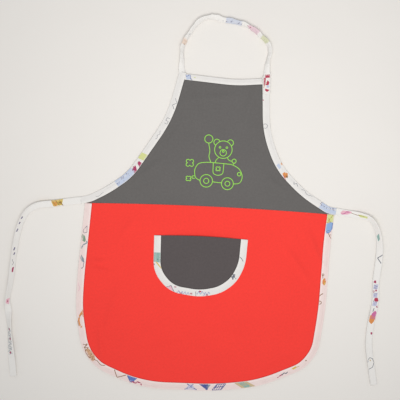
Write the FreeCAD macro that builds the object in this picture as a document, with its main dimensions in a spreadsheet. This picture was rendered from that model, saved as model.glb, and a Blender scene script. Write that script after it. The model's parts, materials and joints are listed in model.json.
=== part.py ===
import FreeCAD, Part
import Sketcher
import math
import os

# A child's bib apron, lying flat on its back: +Z is up, out of the front face, +Y runs
# from the hem towards the neck and X runs along the waist. Z = 0 is the surface under it.
# The origin is under the middle of the sewn body. All lengths are in millimetres.

V = FreeCAD.Vector
UP = V(0, 0, 1)
ARC_SHARE = 0.45  # how much of the shorter run a corner's tangent arc takes up
CLOTH_TUCK = 4.0  # how far the bib cloth stops below the top ends of the armhole tapes

SIZES = {
    # cloth and tape
    "cloth_thick": 0.5,
    "tape_wall": 0.6,  # two plies of tape
    "tape_width": 11.0,
    "top_tape_width": 9.5,
    "slack": 0.1,  # air between the plies of one edge
    "seam_half_gap": 0.2,
    "allowance_width": 10.0,
    # threads
    "thread_width": 0.3,
    "thread_height": 0.2,
    "stitch_inset": 1.2,  # from the tape's free edge to its line of stitches
    "overlock_width": 0.8,
    # pocket
    "pocket_ply": 0.4,
    # ties and neck strap
    "tie_width": 11.0,
    "tie_thick": 1.6,
    "tie_low": 0.15,
    "strap_width": 10.0,
    "casing_ply": 0.3,
    "casing_side": 1.0,
    "elastic_width": 6.0,
    "elastic_thick": 0.7,
    "tab_thick": 1.1,
    # embroidery
    "stroke_width": 1.2,
    "stroke_height": 0.4,
    "backing_radius": 50.0,
}
DERIVED = {
    "slot_height": "=cloth_thick + 2 * slack",
    "edge_height": "=cloth_thick + 2 * slack + 2 * tape_wall",
    "cloth_low": "=tape_wall + slack",
    "cloth_reach": "=tape_width - tape_wall - slack",
    "top_cloth_reach": "=top_tape_width - tape_wall - slack",
    "allowance_low": "=slack",
    "pocket_tape_low": "=tape_wall + slack + cloth_thick + slack",
    "pocket_slot_height": "=2 * pocket_ply + 3 * slack",
    "tab_low": "=cloth_thick + 3 * slack + 2 * tape_wall + thread_height",
}

# The waist seam is one shallow arc, a little higher in the middle than at the sides.
SEAM_MIDDLE = V(-2, 38.4, 0)
SEAM_RADIUS = 5200.0
SEAM_LEFT, SEAM_RIGHT = -195.0, 202.0  # where the seam's ends are caught in the tapes

# Edges of the cloth that shows, in the order that the outside of the apron runs,
# counter-clockwise seen from the front, so each tape lies to the right of its edge.
LEFT_ARMHOLE = [(-44, 250), (-62, 174), (-122, 79), (-157, 53), (-186, 37), (-197.8, 34.2)]
SKIRT_SIDE_AND_HEM = [
    (-185, 33.4), (-191.8, -87), (-192.2, -134), (-177, -212), (-92, -246), (27, -245),
    (94, -235), (160, -205), (177, -181), (185, -118), (188, -9), (192.1, 34.6),
]
RIGHT_ARMHOLE = [(203.2, 34.3), (191, 36), (149, 61), (106, 102), (83, 159), (78, 250)]
BIB_TOP = [(78.2, 237.1), (36, 233), (-44.7, 238.8)]
POCKET_EDGE = [
    (-72, -11.5), (-70.8, -66), (-49, -90.5), (-6, -96), (23, -89.5), (42.5, -74.5), (54, -50),
    (56, -11.5),
]
POCKET_MOUTH_RISE = 1.8  # the mouth bows up in the middle

# Routes of the free tapes along their middle lines.
LEFT_TIE = [
    (-203.5, 38.6), (-222, 36), (-247, 31), (-271, 30), (-292, 22), (-304, 2), (-306, -29),
    (-308, -62), (-305, -97), (-312, -123), (-307, -162), (-303, -205), (-298, -248),
]
RIGHT_TIE = [
    (207.2, 39.8), (225, 37.2), (246, 35), (263, 29), (275, 14), (280, -11), (279, -38),
    (274, -70), (276, -104), (269, -137), (267, -171), (273, -204), (279, -235),
]
NECK_STRAP = [
    (-55, 257.8), (-56, 275), (-55, 293), (-43, 313), (-27, 334), (-8, 342), (13, 336),
    (33, 335), (54, 328), (71, 316), (85, 303), (91, 284), (85.5, 259.5),
]


def fail_if_broken(doc):
    """Stops before anything is written if a feature of the document failed."""
    for item in doc.Objects:
        if "Invalid" in item.State or "Error" in item.State:
            raise RuntimeError(f"{item.Name} is {item.State}")


# ---------------------------------------------------------------- the sheet of sizes

doc = FreeCAD.newDocument("apron")
sheet = doc.addObject("Spreadsheet::Sheet", "Sizes")
for row, (alias, value) in enumerate({**SIZES, **DERIVED}.items(), start=1):
    sheet.set(f"A{row}", alias)
    sheet.set(f"B{row}", str(value))
    sheet.setAlias(f"B{row}", alias)
doc.recompute()


def size(alias):
    """A size as the sheet holds it."""
    return float(sheet.get(alias))


# ---------------------------------------------------------------- paths and sketches


def rounded(points):
    """Straight runs between the points, joined by arcs tangent to both, and their radii."""
    corners = [V(x, y, 0) for x, y in points]
    geometry, radii, here = [], [], corners[0]
    for before, corner, after in zip(corners, corners[1:], corners[2:]):
        back, on = before - corner, after - corner
        reach = ARC_SHARE * min(back.Length, on.Length)
        half_turn = (math.pi - back.getAngle(on)) / 2
        radii.append(reach / math.tan(half_turn))
        back.normalize()
        on.normalize()
        start, end = corner + back * reach, corner + on * reach
        to_middle = back + on
        to_middle.normalize()
        rise = radii[-1] * (1 / math.cos(half_turn) - 1)
        geometry.append(Part.LineSegment(here, start))
        geometry.append(Part.Arc(start, corner + to_middle * rise, end))
        here = end
    geometry.append(Part.LineSegment(here, corners[-1]))
    return geometry, radii


def side_path(points, offset, trim_start=0.0, trim_end=0.0):
    """The rounded path of points moved to its right by offset, with its end runs trimmed."""
    wire = Part.Wire([piece.toShape() for piece in rounded(points)[0]])
    moved = wire.makeOffset2D(offset, join=2, fill=False, openResult=True)
    pieces = Part.__sortEdges__(moved.Edges)
    first, last = pieces[0], pieces[-1]
    heading = first.tangentAt(first.FirstParameter)
    start = first.valueAt(first.FirstParameter) + heading * trim_start
    leaving = last.tangentAt(last.LastParameter)
    end = last.valueAt(last.LastParameter) - leaving * trim_end
    turn_in = first.valueAt(first.LastParameter)
    turn_out = last.valueAt(last.FirstParameter)
    inner = [arc_or_line(piece) for piece in pieces[1:-1]]
    return [Part.LineSegment(start, turn_in), *inner, Part.LineSegment(turn_out, end)]


def arc_or_line(edge):
    """The edge as sketch geometry."""
    start, end = edge.valueAt(edge.FirstParameter), edge.valueAt(edge.LastParameter)
    if isinstance(edge.Curve, Part.Line):
        return Part.LineSegment(start, end)
    middle = edge.valueAt((edge.FirstParameter + edge.LastParameter) / 2)
    return Part.Arc(start, middle, end)


def seam_point(x, shift=0.0):
    """The point of the waist seam at x, moved up by shift."""
    drop = SEAM_RADIUS - math.sqrt(SEAM_RADIUS**2 - (x - SEAM_MIDDLE.x) ** 2)
    return V(x, SEAM_MIDDLE.y - drop + shift, 0)


def seam_arc(left, right, shift=0.0):
    """The stretch of the waist seam from x = left to x = right, moved up by shift."""
    ends = (left, (left + right) / 2, right)
    return Part.Arc(*(seam_point(x, shift) for x in ends))


def closed(*runs):
    """The runs of geometry joined end to end by straight lines into one outline."""
    outline = []
    for number, run in enumerate(runs):
        pieces = run if isinstance(run, list) else [run]
        outline += pieces
        following = runs[(number + 1) % len(runs)]
        first = following[0] if isinstance(following, list) else following
        if pieces[-1].EndPoint.distanceToPoint(first.StartPoint) > 1e-6:
            outline.append(Part.LineSegment(pieces[-1].EndPoint, first.StartPoint))
    return outline


def polygon(*corners):
    """A closed outline of straight lines."""
    points = [V(x, y, 0) for x, y in corners]
    return [Part.LineSegment(a, b) for a, b in zip(points, points[1:] + points[:1])]


def draw(sketch, geometry):
    """Puts the geometry in the sketch and pins each piece to the end of the one before."""
    for piece in geometry:
        sketch.addGeometry(piece, False)
    links = list(zip(range(len(geometry)), range(1, len(geometry))))
    if geometry[-1].EndPoint.distanceToPoint(geometry[0].StartPoint) < 1e-6:
        links.append((len(geometry) - 1, 0))
    for a, b in links:
        ends = [
            (number, point)
            for number in (a, b)
            for point in (1, 2)
        ]
        pair = min(
            ((p, q) for p in ends[:2] for q in ends[2:]),
            key=lambda both: sketch.getPoint(*both[0]).distanceToPoint(
                sketch.getPoint(*both[1])
            ),
        )
        sketch.addConstraint(Sketcher.Constraint("Coincident", *pair[0], *pair[1]))


def edge_sketch(name, geometry):
    """A sketch of one line that tapes, threads and plates are set out from."""
    sketch = doc.addObject("Sketcher::SketchObject", name + "_line")
    draw(sketch, geometry)
    return sketch


# ---------------------------------------------------------------- solids


def strip(line, name, start, width, low, height):
    """A flat strip along a line: start and width run to the line's right, low and height up."""
    if start != "0":
        moved = doc.addObject("Part::Offset2D", name + "_side")
        moved.Source, moved.Mode, moved.Join = line, "Skin", "Intersection"
        moved.setExpression("Value", start)
        line = moved
    face = doc.addObject("Part::Offset2D", name + "_face")
    face.Source, face.Mode, face.Join, face.Fill = line, "Skin", "Intersection", True
    face.setExpression("Value", width)
    solid = doc.addObject("Part::Extrusion", name)
    solid.Base, solid.DirMode, solid.Dir, solid.Solid = face, "Custom", UP, True
    solid.setExpression("LengthFwd", height)
    solid.setExpression("Placement.Base.z", low)
    return solid


def cut(name, base, tool):
    """Base with tool taken out of it."""
    result = doc.addObject("Part::Cut", name)
    result.Base, result.Tool = base, tool
    return result


def edge_tape(line, name, width, low="0", slot="Sizes.slot_height"):
    """Tape folded over an edge of cloth: a channel that is open towards the cloth."""
    both_sides = f"{slot} + 2 * Sizes.tape_wall"
    block = strip(line, name + "_block", "0", width, low, both_sides)
    slot_low = f"{low} + Sizes.tape_wall"
    inside = f"{width} - Sizes.tape_wall + Sizes.slack"
    space = strip(line, name + "_space", "-Sizes.slack", inside, slot_low, slot)
    return cut(name, block, space)


def stitch_line(line, name, low, inset="Sizes.stitch_inset"):
    """A line of stitches lying on a tape."""
    return strip(line, name, inset, "Sizes.thread_width", low, "Sizes.thread_height")


def body_of(name):
    """An empty PartDesign body."""
    body = doc.addObject("PartDesign::Body", name)
    body.Label = name
    return body


def plate(body, name, geometry, low, height):
    """A pad of the outline in geometry, its underside at the height low."""
    sketch = body.newObject("Sketcher::SketchObject", name + "_outline")
    planes = [p for p in body.Origin.OriginFeatures if p.Role == "XY_Plane"]
    sketch.AttachmentSupport = [(planes[0], "")]
    sketch.MapMode = "FlatFace"
    sketch.setExpression("AttachmentOffset.Base.z", low)
    draw(sketch, geometry)
    pad = body.newObject("PartDesign::Pad", name + "_pad")
    pad.Profile = sketch
    pad.setExpression("Length", height)
    return pad


# ---------------------------------------------------------------- the cloth panels

gap = size("seam_half_gap")
reach = size("cloth_reach")


def skirt_panel():
    """The red skirt, its top edge folded under and pressed down as a seam allowance."""
    body = body_of("skirt_panel")
    side_and_hem = side_path(SKIRT_SIDE_AND_HEM, reach)
    top = seam_arc(SEAM_RIGHT, SEAM_LEFT, -gap)
    plate(body, "skirt_cloth", closed(side_and_hem, top), "Sizes.cloth_low", "Sizes.cloth_thick")
    folded_allowance(body, "skirt", -184.0, 190.0, -184.0, 190.0, -1)
    return body


def bib_panel():
    """The grey bib, its bottom edge folded under and pressed up as a seam allowance."""
    body = body_of("bib_panel")
    left = side_path(LEFT_ARMHOLE, reach, CLOTH_TUCK, 2.0)
    right = side_path(RIGHT_ARMHOLE, reach, 2.0, CLOTH_TUCK)
    top = side_path(BIB_TOP, size("top_cloth_reach"))
    outline = closed(left, seam_arc(SEAM_LEFT, SEAM_RIGHT, gap), right, top)
    plate(body, "bib_cloth", outline, "Sizes.cloth_low", "Sizes.cloth_thick")
    folded_allowance(body, "bib", -184.0, 188.0, -166.0, 170.0, 1)
    return body


def folded_allowance(body, name, left, right, raw_left, raw_right, way):
    """The allowance under a panel at the waist, from the fold at the seam to its raw edge."""
    fold = gap + size("cloth_thick")
    raw = gap + size("allowance_width")
    strip_outline = closed(
        seam_arc(left, right, way * gap), seam_arc(raw_right, raw_left, way * raw)
    )
    fold_outline = closed(
        seam_arc(left, right, way * gap), seam_arc(right, left, way * fold)
    )
    plate(body, name + "_allowance", strip_outline, "Sizes.allowance_low", "Sizes.cloth_thick")
    both_plies = "Sizes.cloth_low - Sizes.allowance_low + Sizes.cloth_thick"
    plate(body, name + "_fold", fold_outline, "Sizes.allowance_low", both_plies)


def pocket_panel():
    """The pocket: one piece of cloth doubled over at the mouth, so that no edge shows there."""
    body = body_of("pocket_panel")
    side = side_path(POCKET_EDGE, reach)
    mouth = [(side[-1].EndPoint.x, side[-1].EndPoint.y), (side[0].StartPoint.x, side[0].StartPoint.y)]
    middle = (mouth[0][0] + mouth[1][0]) / 2
    crest = mouth[0][1] + 2 * POCKET_MOUTH_RISE
    mouth_line = rounded([mouth[0], (middle, crest), mouth[1]])[0]
    ply = size("pocket_ply")
    lower = "Sizes.pocket_tape_low + Sizes.tape_wall + Sizes.slack"
    upper = lower + " + Sizes.pocket_ply + Sizes.slack"
    outline = closed(side, mouth_line)
    plate(body, "pocket_back_ply", outline, lower, "Sizes.pocket_ply")
    inset = side_path([mouth[0], (middle, crest), mouth[1]], -ply)
    backwards = [
        Part.Arc(p.EndPoint, p.value((p.FirstParameter + p.LastParameter) / 2), p.StartPoint)
        if isinstance(p, Part.ArcOfCircle)
        else Part.LineSegment(p.EndPoint, p.StartPoint)
        for p in reversed(inset)
    ]
    fold = closed(mouth_line, backwards)
    plate(body, "pocket_fold", fold, lower, "2 * Sizes.pocket_ply + Sizes.slack")
    plate(body, "pocket_front_ply", outline, upper, "Sizes.pocket_ply")
    return body


# ---------------------------------------------------------------- the embroidery

MOTIF_AT = V(9, 110, 0)  # the middle of the motif
HEAD, HEAD_RADIUS = V(12, 20, 0), 14.0
WHEELS = ((V(-13, -31, 0), 10.0), (V(21, -34, 0), 9.5))
PUFF_NOTCH, PUFF_SWELL = 0.62, 1.4  # how deep a puff's notches are, and how round its lobes


def ring(middle, radius):
    """One stitched circle."""
    return [Part.Circle(middle, UP, radius)]


def ear(side):
    """The part of a round ear that shows beyond the head."""
    along = V(side * 0.69, 0.724, 0)
    across = V(-along.y, along.x, 0) * 4.2
    foot = HEAD + along * 13.35
    return [Part.Arc(foot + across, HEAD + along * 20.5, foot - across)]


def puff(middle, half):
    """A puff of smoke, or a flower, with four round lobes that meet in notches."""
    notch = half * PUFF_NOTCH
    corners = [middle + V(x, y, 0) * notch for x, y in ((-1, 0), (0, 0.9), (1, 0), (0, -0.9))]
    lobes = zip(corners, corners[1:] + corners[:1])
    return [Part.Arc(a, middle + (a + b - middle * 2) * PUFF_SWELL, b) for a, b in lobes]


def motif_strokes():
    """A bear with a balloon in a toy car that puffs smoke, as lines of stitches."""
    strokes = [ring(HEAD, HEAD_RADIUS), ring(HEAD + V(0, -5, 0), 5.2), ear(-1), ear(1)]
    strokes.append(ring(HEAD + V(0, -2.8, 0), 1.5))
    for side in (-1, 1):
        strokes.append(ring(HEAD + V(side * 5.5, 3.5, 0), 1.4))
    for hub, radius in WHEELS:
        strokes += [ring(hub, radius), ring(hub, radius * 0.42)]
    lines = {
        "car": [
            (-23, -31), (-31, -27), (-33, -14), (-27, -3), (-12, -1), (28, -3),
            (40, -10), (45, -22), (41, -33), (30.5, -34),
        ],
        "sill": [(-3, -32), (4, -32.8), (11.5, -33)],
        "door": [(-3, -2), (-3, -19), (5, -22), (13, -19), (14, -2)],
        "shoulder": [(5, 7), (1, 3), (0, -1.5)],
        "arm": [(19, 7), (22, 3), (27, 2)],
        "wheel_post": [(31, -0.5), (29.6, -1.7), (29, -3.2)],
        "balloon_string": [(-12, 29.5), (-9, 17), (-11, 8), (-7, -1)],
        "exhaust": [(-32.5, -24), (-36, -24), (-36, -28), (-31.5, -28)],
    }
    strokes += [rounded(points)[0] for points in lines.values()]
    strokes += [ring(V(30, 2.5, 0), 3.3), ring(V(-12, 36, 0), 6.5), ring(V(39, -18, 0), 2.8)]
    strokes += [puff(V(-40.5, -3.5, 0), 6.0), puff(V(-41.5, -28.5, 0), 4.0), puff(V(5, -11, 0), 3.6)]
    return strokes


def embroidery_motif():
    """Each stroke of the motif as a low ridge of thread on the cloth."""
    width, tall = size("stroke_width"), size("stroke_height")
    top_of_cloth = size("cloth_low") + size("cloth_thick")
    ridges = []
    for stroke in motif_strokes():
        if isinstance(stroke[0], Part.Circle):
            radius, middle = stroke[0].Radius, stroke[0].Center
            outer = Part.makeCylinder(radius + width / 2, tall, middle)
            hole = Part.makeCylinder(max(radius - width / 2, 0.2), tall, middle)
            ridges.append(outer.cut(hole))
        else:
            wire = Part.Wire([piece.toShape() for piece in stroke])
            face = wire.makeOffset2D(width / 2, join=0, fill=True, openResult=False)
            ridges.append(face.extrude(UP * tall))
    thread = ridges[0].multiFuse(ridges[1:]).removeSplitter()
    item = doc.addObject("Part::Feature", "embroidery_motif")
    item.Shape = thread
    item.Placement = FreeCAD.Placement(MOTIF_AT + UP * top_of_cloth, FreeCAD.Rotation())
    return item


def embroidery_backing():
    """The round of stabilising fleece left behind the motif on the back of the bib."""
    body = body_of("embroidery_backing")
    circle = [Part.Circle(MOTIF_AT, UP, size("backing_radius"))]
    sketch = body.newObject("Sketcher::SketchObject", "backing_outline")
    planes = [p for p in body.Origin.OriginFeatures if p.Role == "XY_Plane"]
    sketch.AttachmentSupport = [(planes[0], "")]
    sketch.MapMode = "FlatFace"
    sketch.setExpression("AttachmentOffset.Base.z", "Sizes.slack")
    sketch.addGeometry(circle[0], False)
    sketch.addConstraint(Sketcher.Constraint("Radius", 0, size("backing_radius")))
    sketch.renameConstraint(0, "backing")
    sketch.setExpression("Constraints.backing", "Sizes.backing_radius")
    pad = body.newObject("PartDesign::Pad", "backing_pad")
    pad.Profile = sketch
    pad.setExpression("Length", "Sizes.cloth_thick")
    return body


# ---------------------------------------------------------------- putting it together

parts = {}


def keep(item):
    """Notes a finished sub-part under the name that its file gets."""
    item.Label = item.Name
    parts[item.Label] = item


keep(skirt_panel())
keep(bib_panel())
keep(pocket_panel())
keep(embroidery_motif())
keep(embroidery_backing())

on_edge_tape = "Sizes.edge_height"
armholes = {"left_armhole": LEFT_ARMHOLE, "right_armhole": RIGHT_ARMHOLE}
for name, points in armholes.items():
    line = edge_sketch(name, rounded(points)[0])
    keep(edge_tape(line, name + "_binding", "Sizes.tape_width"))
    keep(stitch_line(line, name + "_stitching", on_edge_tape))

skirt_line = edge_sketch("skirt", rounded(SKIRT_SIDE_AND_HEM)[0])
keep(edge_tape(skirt_line, "skirt_binding", "Sizes.tape_width"))
keep(stitch_line(skirt_line, "skirt_binding_stitching", on_edge_tape))

top_line = edge_sketch("bib_top", rounded(BIB_TOP)[0])
keep(edge_tape(top_line, "bib_top_binding", "Sizes.top_tape_width"))
keep(stitch_line(top_line, "bib_top_stitching", on_edge_tape))

pocket_line = edge_sketch("pocket", rounded(POCKET_EDGE)[0])
pocket_low, pocket_slot = "Sizes.pocket_tape_low", "Sizes.pocket_slot_height"
keep(edge_tape(pocket_line, "pocket_binding", "Sizes.tape_width", pocket_low, pocket_slot))
pocket_top = f"{pocket_low} + {pocket_slot} + 2 * Sizes.tape_wall"
keep(stitch_line(pocket_line, "pocket_stitching", pocket_top))

# Threads at the waist: the seam itself, and the overlocked raw edges of the allowances.
seam_line = edge_sketch("waist_seam", [seam_arc(-184.0, 189.0)])
seam_thread_low = "Sizes.cloth_low + Sizes.slack / 2"
seam_thread_height = "Sizes.cloth_thick - Sizes.slack"
half_thread = "Sizes.seam_half_gap * 0.4"
keep(
    strip(
        seam_line, "waist_seam_thread", f"-{half_thread}", f"2 * {half_thread}",
        seam_thread_low, seam_thread_height,
    )
)
raw_edge = gap + size("allowance_width") + size("slack")
overlocks = {"bib": (-164.0, 168.0, raw_edge), "skirt": (-184.0, 190.0, -raw_edge)}
for name, (left, right, shift) in overlocks.items():
    line = edge_sketch(name + "_overlock", [seam_arc(left, right, shift)])
    outward = "-Sizes.overlock_width" if shift > 0 else "Sizes.overlock_width"
    keep(
        strip(
            line, name + "_overlock_thread", "0", outward, "Sizes.allowance_low + 0.05",
            "Sizes.cloth_thick - 0.1",
        )
    )

# The ties: flat folded tape with a line of stitches along its open side.
tie_top = "Sizes.tie_low + Sizes.tie_thick"
for name, points in {"left_tie": LEFT_TIE, "right_tie": RIGHT_TIE}.items():
    line = edge_sketch(name, rounded(points)[0])
    half = "Sizes.tie_width / 2"
    keep(strip(line, name, f"-{half}", "Sizes.tie_width", "Sizes.tie_low", "Sizes.tie_thick"))
    inset = f"{half} - Sizes.stitch_inset - Sizes.thread_width"
    keep(stitch_line(line, name + "_stitching", tie_top, inset))

# The neck strap: a flat casing of tape with a flat elastic inside it.
strap_line = edge_sketch("neck_strap", rounded(NECK_STRAP)[0])
half = "Sizes.strap_width / 2"
tape = strip(
    strap_line, "strap_block", f"-{half}", "Sizes.strap_width", "Sizes.tie_low", "Sizes.tie_thick"
)
inside_start = f"-{half} + Sizes.casing_side"
inside_width = "Sizes.strap_width - 2 * Sizes.casing_side"
inside_low = "Sizes.tie_low + Sizes.casing_ply"
inside_height = "Sizes.tie_thick - 2 * Sizes.casing_ply"
inside = strip(
    strap_line, "strap_space", inside_start, inside_width, inside_low, inside_height
)
keep(cut("neck_strap", tape, inside))
elastic_low = "Sizes.tie_low + (Sizes.tie_thick - Sizes.elastic_thick) / 2"
keep(
    strip(
        strap_line, "neck_elastic", "-Sizes.elastic_width / 2", "Sizes.elastic_width",
        elastic_low, "Sizes.elastic_thick",
    )
)

# The strap's sewn ends: one inside the left armhole tape, one on top of the right one.
left_tab = body_of("left_strap_tab")
left_outline = polygon(
    (-53.0, 249.6), (-46.2, 248.6), (-45.6, 251.2), (-50.5, 255.5), (-59.4, 255.3), (-53.2, 252.9)
)
plate(left_tab, "left_tab", left_outline, "Sizes.cloth_low", "Sizes.cloth_thick")
keep(left_tab)
right_tab = body_of("right_strap_tab")
right_corners = [(80.4, 222.6), (91.2, 222.2), (90.6, 256.3), (79.8, 256.3)]
plate(right_tab, "right_tab", polygon(*right_corners), "Sizes.tab_low", "Sizes.tab_thick")
keep(right_tab)
tab_line = edge_sketch("strap_tab_sides", polygon(*right_corners)[:-1])
keep(
    strip(
        tab_line, "strap_tab_stitching", "-Sizes.stitch_inset", "-Sizes.thread_width",
        "Sizes.tab_low + Sizes.tab_thick", "Sizes.thread_height",
    )
)

doc.recompute()
fail_if_broken(doc)


# ---------------------------------------------------------------- tests and files


def route_report(name, points, width, thick):
    """Prints a flat tape's arc radii, and its volume beside section times length."""
    geometry, radii = rounded(points)
    length = sum(piece.length() for piece in geometry)
    ratio = parts[name].Shape.Volume / (length * width * thick)
    smallest = ", ".join(f"{radius:.0f}" for radius in radii)
    print(f"{name}: {length:.0f} mm, radii {smallest}; volume ratio {ratio:.4f}")


route_report("left_tie", LEFT_TIE, size("tie_width"), size("tie_thick"))
route_report("right_tie", RIGHT_TIE, size("tie_width"), size("tie_thick"))
route_report("neck_elastic", NECK_STRAP, size("elastic_width"), size("elastic_thick"))

os.makedirs("parts", exist_ok=True)
for label, item in parts.items():
    shape = item.Shape
    if shape.isNull() or not shape.isValid() or not shape.Solids:
        raise RuntimeError(f"{label} has no valid solid")
for label, item in parts.items():
    item.Shape.exportStep(f"parts/{label}.step")
    box = item.Shape.BoundBox
    print(
        f"{label}: {len(item.Shape.Solids)} solid(s), {item.Shape.Volume:.0f} mm3, "
        f"x {box.XMin:.1f}..{box.XMax:.1f} y {box.YMin:.1f}..{box.YMax:.1f} "
        f"z {box.ZMin:.2f}..{box.ZMax:.2f}"
    )
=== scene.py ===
import json
import math

import bmesh
import bpy
import numpy as np
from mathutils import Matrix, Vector
from mathutils.geometry import delaunay_2d_cdt


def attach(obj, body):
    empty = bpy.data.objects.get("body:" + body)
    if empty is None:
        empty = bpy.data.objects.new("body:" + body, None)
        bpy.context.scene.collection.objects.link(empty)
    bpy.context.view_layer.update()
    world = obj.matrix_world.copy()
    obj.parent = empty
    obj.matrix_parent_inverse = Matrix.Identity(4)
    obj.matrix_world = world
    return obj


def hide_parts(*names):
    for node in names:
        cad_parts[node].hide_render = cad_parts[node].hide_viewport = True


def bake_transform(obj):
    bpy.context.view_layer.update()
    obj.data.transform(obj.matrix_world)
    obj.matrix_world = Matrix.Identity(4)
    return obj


# The looks of a child's bib apron laid flat. Shapes are worked out in millimetres in the
# part's frame and turned into metres when a piece is made.

MM = 0.001
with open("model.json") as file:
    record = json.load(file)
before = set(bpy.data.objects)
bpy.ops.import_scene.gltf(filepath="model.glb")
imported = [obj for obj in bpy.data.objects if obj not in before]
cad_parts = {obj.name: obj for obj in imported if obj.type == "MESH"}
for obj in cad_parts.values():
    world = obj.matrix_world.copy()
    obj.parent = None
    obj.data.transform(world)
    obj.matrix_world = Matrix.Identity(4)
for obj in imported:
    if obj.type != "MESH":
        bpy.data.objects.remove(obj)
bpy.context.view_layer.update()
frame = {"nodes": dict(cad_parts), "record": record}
dice = np.random.default_rng(11)

# ---- lines of the apron

LEFT_ARMHOLE = [(-44, 250), (-62, 174), (-122, 79), (-157, 53), (-186, 37), (-202, 33.3)]
SKIRT_SIDE_AND_HEM = [
    (-185, 34.3), (-191.8, -87), (-192.2, -134), (-177, -212), (-92, -246), (27, -245),
    (94, -235), (160, -205), (177, -181), (185, -118), (188, -9), (192.1, 35.2),
]
RIGHT_ARMHOLE = [(205.2, 34), (191, 36), (149, 61), (106, 102), (83, 159), (78, 250)]
BIB_TOP = [(78.6, 237.2), (36, 233), (-46.4, 239.0)]
POCKET_EDGE = [
    (-72, -11.5), (-70.8, -66), (-49, -90.5), (-6, -96), (23, -89.5), (42.5, -74.5), (54, -50),
    (56, -11.5),
]
LEFT_TIE = [
    (-201.4, 38.9), (-222, 36), (-247, 31), (-271, 28.5), (-287, 18), (-297, -2),
    (-302, -28), (-305.5, -60), (-307, -95), (-312.5, -126), (-308.5, -154), (-303.5, -200),
    (-297.5, -248),
]
RIGHT_TIE = [
    (205.2, 40.1), (225, 37.2), (246, 35), (263, 30), (273, 13), (277.5, -11), (277.5, -38),
    (274, -70), (276, -104), (269, -137), (267, -171), (273, -204), (279, -235),
]
NECK_STRAP = [
    (-50.6, 249.5), (-52, 258), (-51.4, 275), (-51.6, 293), (-42, 312), (-27, 334),
    (-8, 342), (13, 336), (33, 335), (54, 328), (71, 316), (85, 303), (89, 287), (83, 264),
    (85.3, 252.5),
]
TAPE_WIDTH = 11.0
TOP_TAPE_WIDTH = 9.5
TIE_THICK = 1.6
TIE_REST = 0.95  # height of a tie's middle where it lies flat
STRAP_HALF_WIDTH = 4.9
CLOTH_REACH = 10.3  # how far cloth goes under a tape from the tape's inner edge
CLOTH_MIDDLE = 0.95  # height of the middle of a panel's thickness
CLOTH_THICK = 0.5
CLOTH_SPACING = 3.3  # between the points of a panel's mesh
LINE_STEP = 1.6  # between the points of an edge
STITCH_PITCH = 2.6
STITCH_LENGTH = 2.15
STITCH_RADIUS = 0.2
SEAM_MIDDLE = (-2.0, 38.4)
SEAM_RADIUS = 5200.0

# Where cloth bends between two bodies, and the line that each zone starts and ends at.
FOLD_BACK = ("skirt", "waist", (0, 0.027, 0), (0, 0.034, 0))
FOLD_FORWARD = ("waist", "bib", (0, 0.0385, 0), (0, 0.0455, 0))
LEFT_CORNER = ("waist", "left_tie", (-0.2004, 0.0393, 0.001), (-0.2034, 0.0387, 0.001))
RIGHT_CORNER = ("waist", "right_tie", (0.2041, 0.0400, 0.001), (0.2071, 0.0396, 0.001))
STRAP_ENDS = ("bib", "neck_strap", (0.015, 0.2556, 0), (0.015, 0.2586, 0))


def smooth(x, low, high):
    """0 below low, 1 above high, and a smooth step between them."""
    f = np.clip((x - low) / (high - low), 0, 1)
    return f * f * (3 - 2 * f)


def soft_noise(x, y, seed):
    """Smooth noise from -1 to 1 with cells one unit wide."""
    grid = np.random.default_rng(seed).uniform(-1, 1, (64, 64))
    x, y = np.asarray(x, float), np.asarray(y, float)
    column, row = np.floor(x).astype(int), np.floor(y).astype(int)
    fx, fy = x - column, y - row
    fx, fy = (f * f * f * (f * (f * 6 - 15) + 10) for f in (fx, fy))

    def corner(i, j):
        return grid[(column + i) % 64, (row + j) % 64]

    low = corner(0, 0) * (1 - fx) + corner(1, 0) * fx
    high = corner(0, 1) * (1 - fx) + corner(1, 1) * fx
    return low * (1 - fy) + high * fy


# Single creases in the cloth: middle, heading in degrees, half length, half width, height.
CREASES = [
    (-170, -57, 6, 13, 2.2, 1.0), (-164, -71, -14, 16, 2.6, 1.2), (-160, -190, 98, 32, 4.0, 1.3),
    (172, -22, -58, 34, 5.0, 1.2), (156, -58, -52, 30, 4.5, 0.9), (-120, 6, 58, 32, 6.0, 0.8),
    (120, -212, 30, 30, 5.0, 0.9), (-60, -190, 12, 45, 7.0, 0.8), (20, -160, -8, 60, 8.0, 0.7),
    (-28, 200, -72, 30, 5.0, 0.8), (60, 205, 75, 28, 4.5, 0.9), (-92, 96, 40, 24, 4.5, 0.8),
    (108, 78, -38, 24, 4.5, 0.8), (0, 212, 6, 34, 5.0, 0.6), (140, -150, 70, 34, 6.0, 0.8),
    (168, -4, -64, 26, 4.0, 0.9), (138, -36, -56, 26, 5.0, 0.7), (-150, -150, 84, 30, 5.0, 0.9),
    (-140, -120, 82, 28, 4.5, 0.8), (92, 20, -70, 12, 4.0, 0.5), (-58, 150, 60, 26, 4.5, 0.6),
]
CREASE_RISE = 2.3
BROAD_SWELL, FINE_SWELL = 1.7, 0.4
LEAST_LIFT = 0.1
SEAM_LEVEL = 37  # the seam's y; the cloth lies flat within a few millimetres of it


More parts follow.
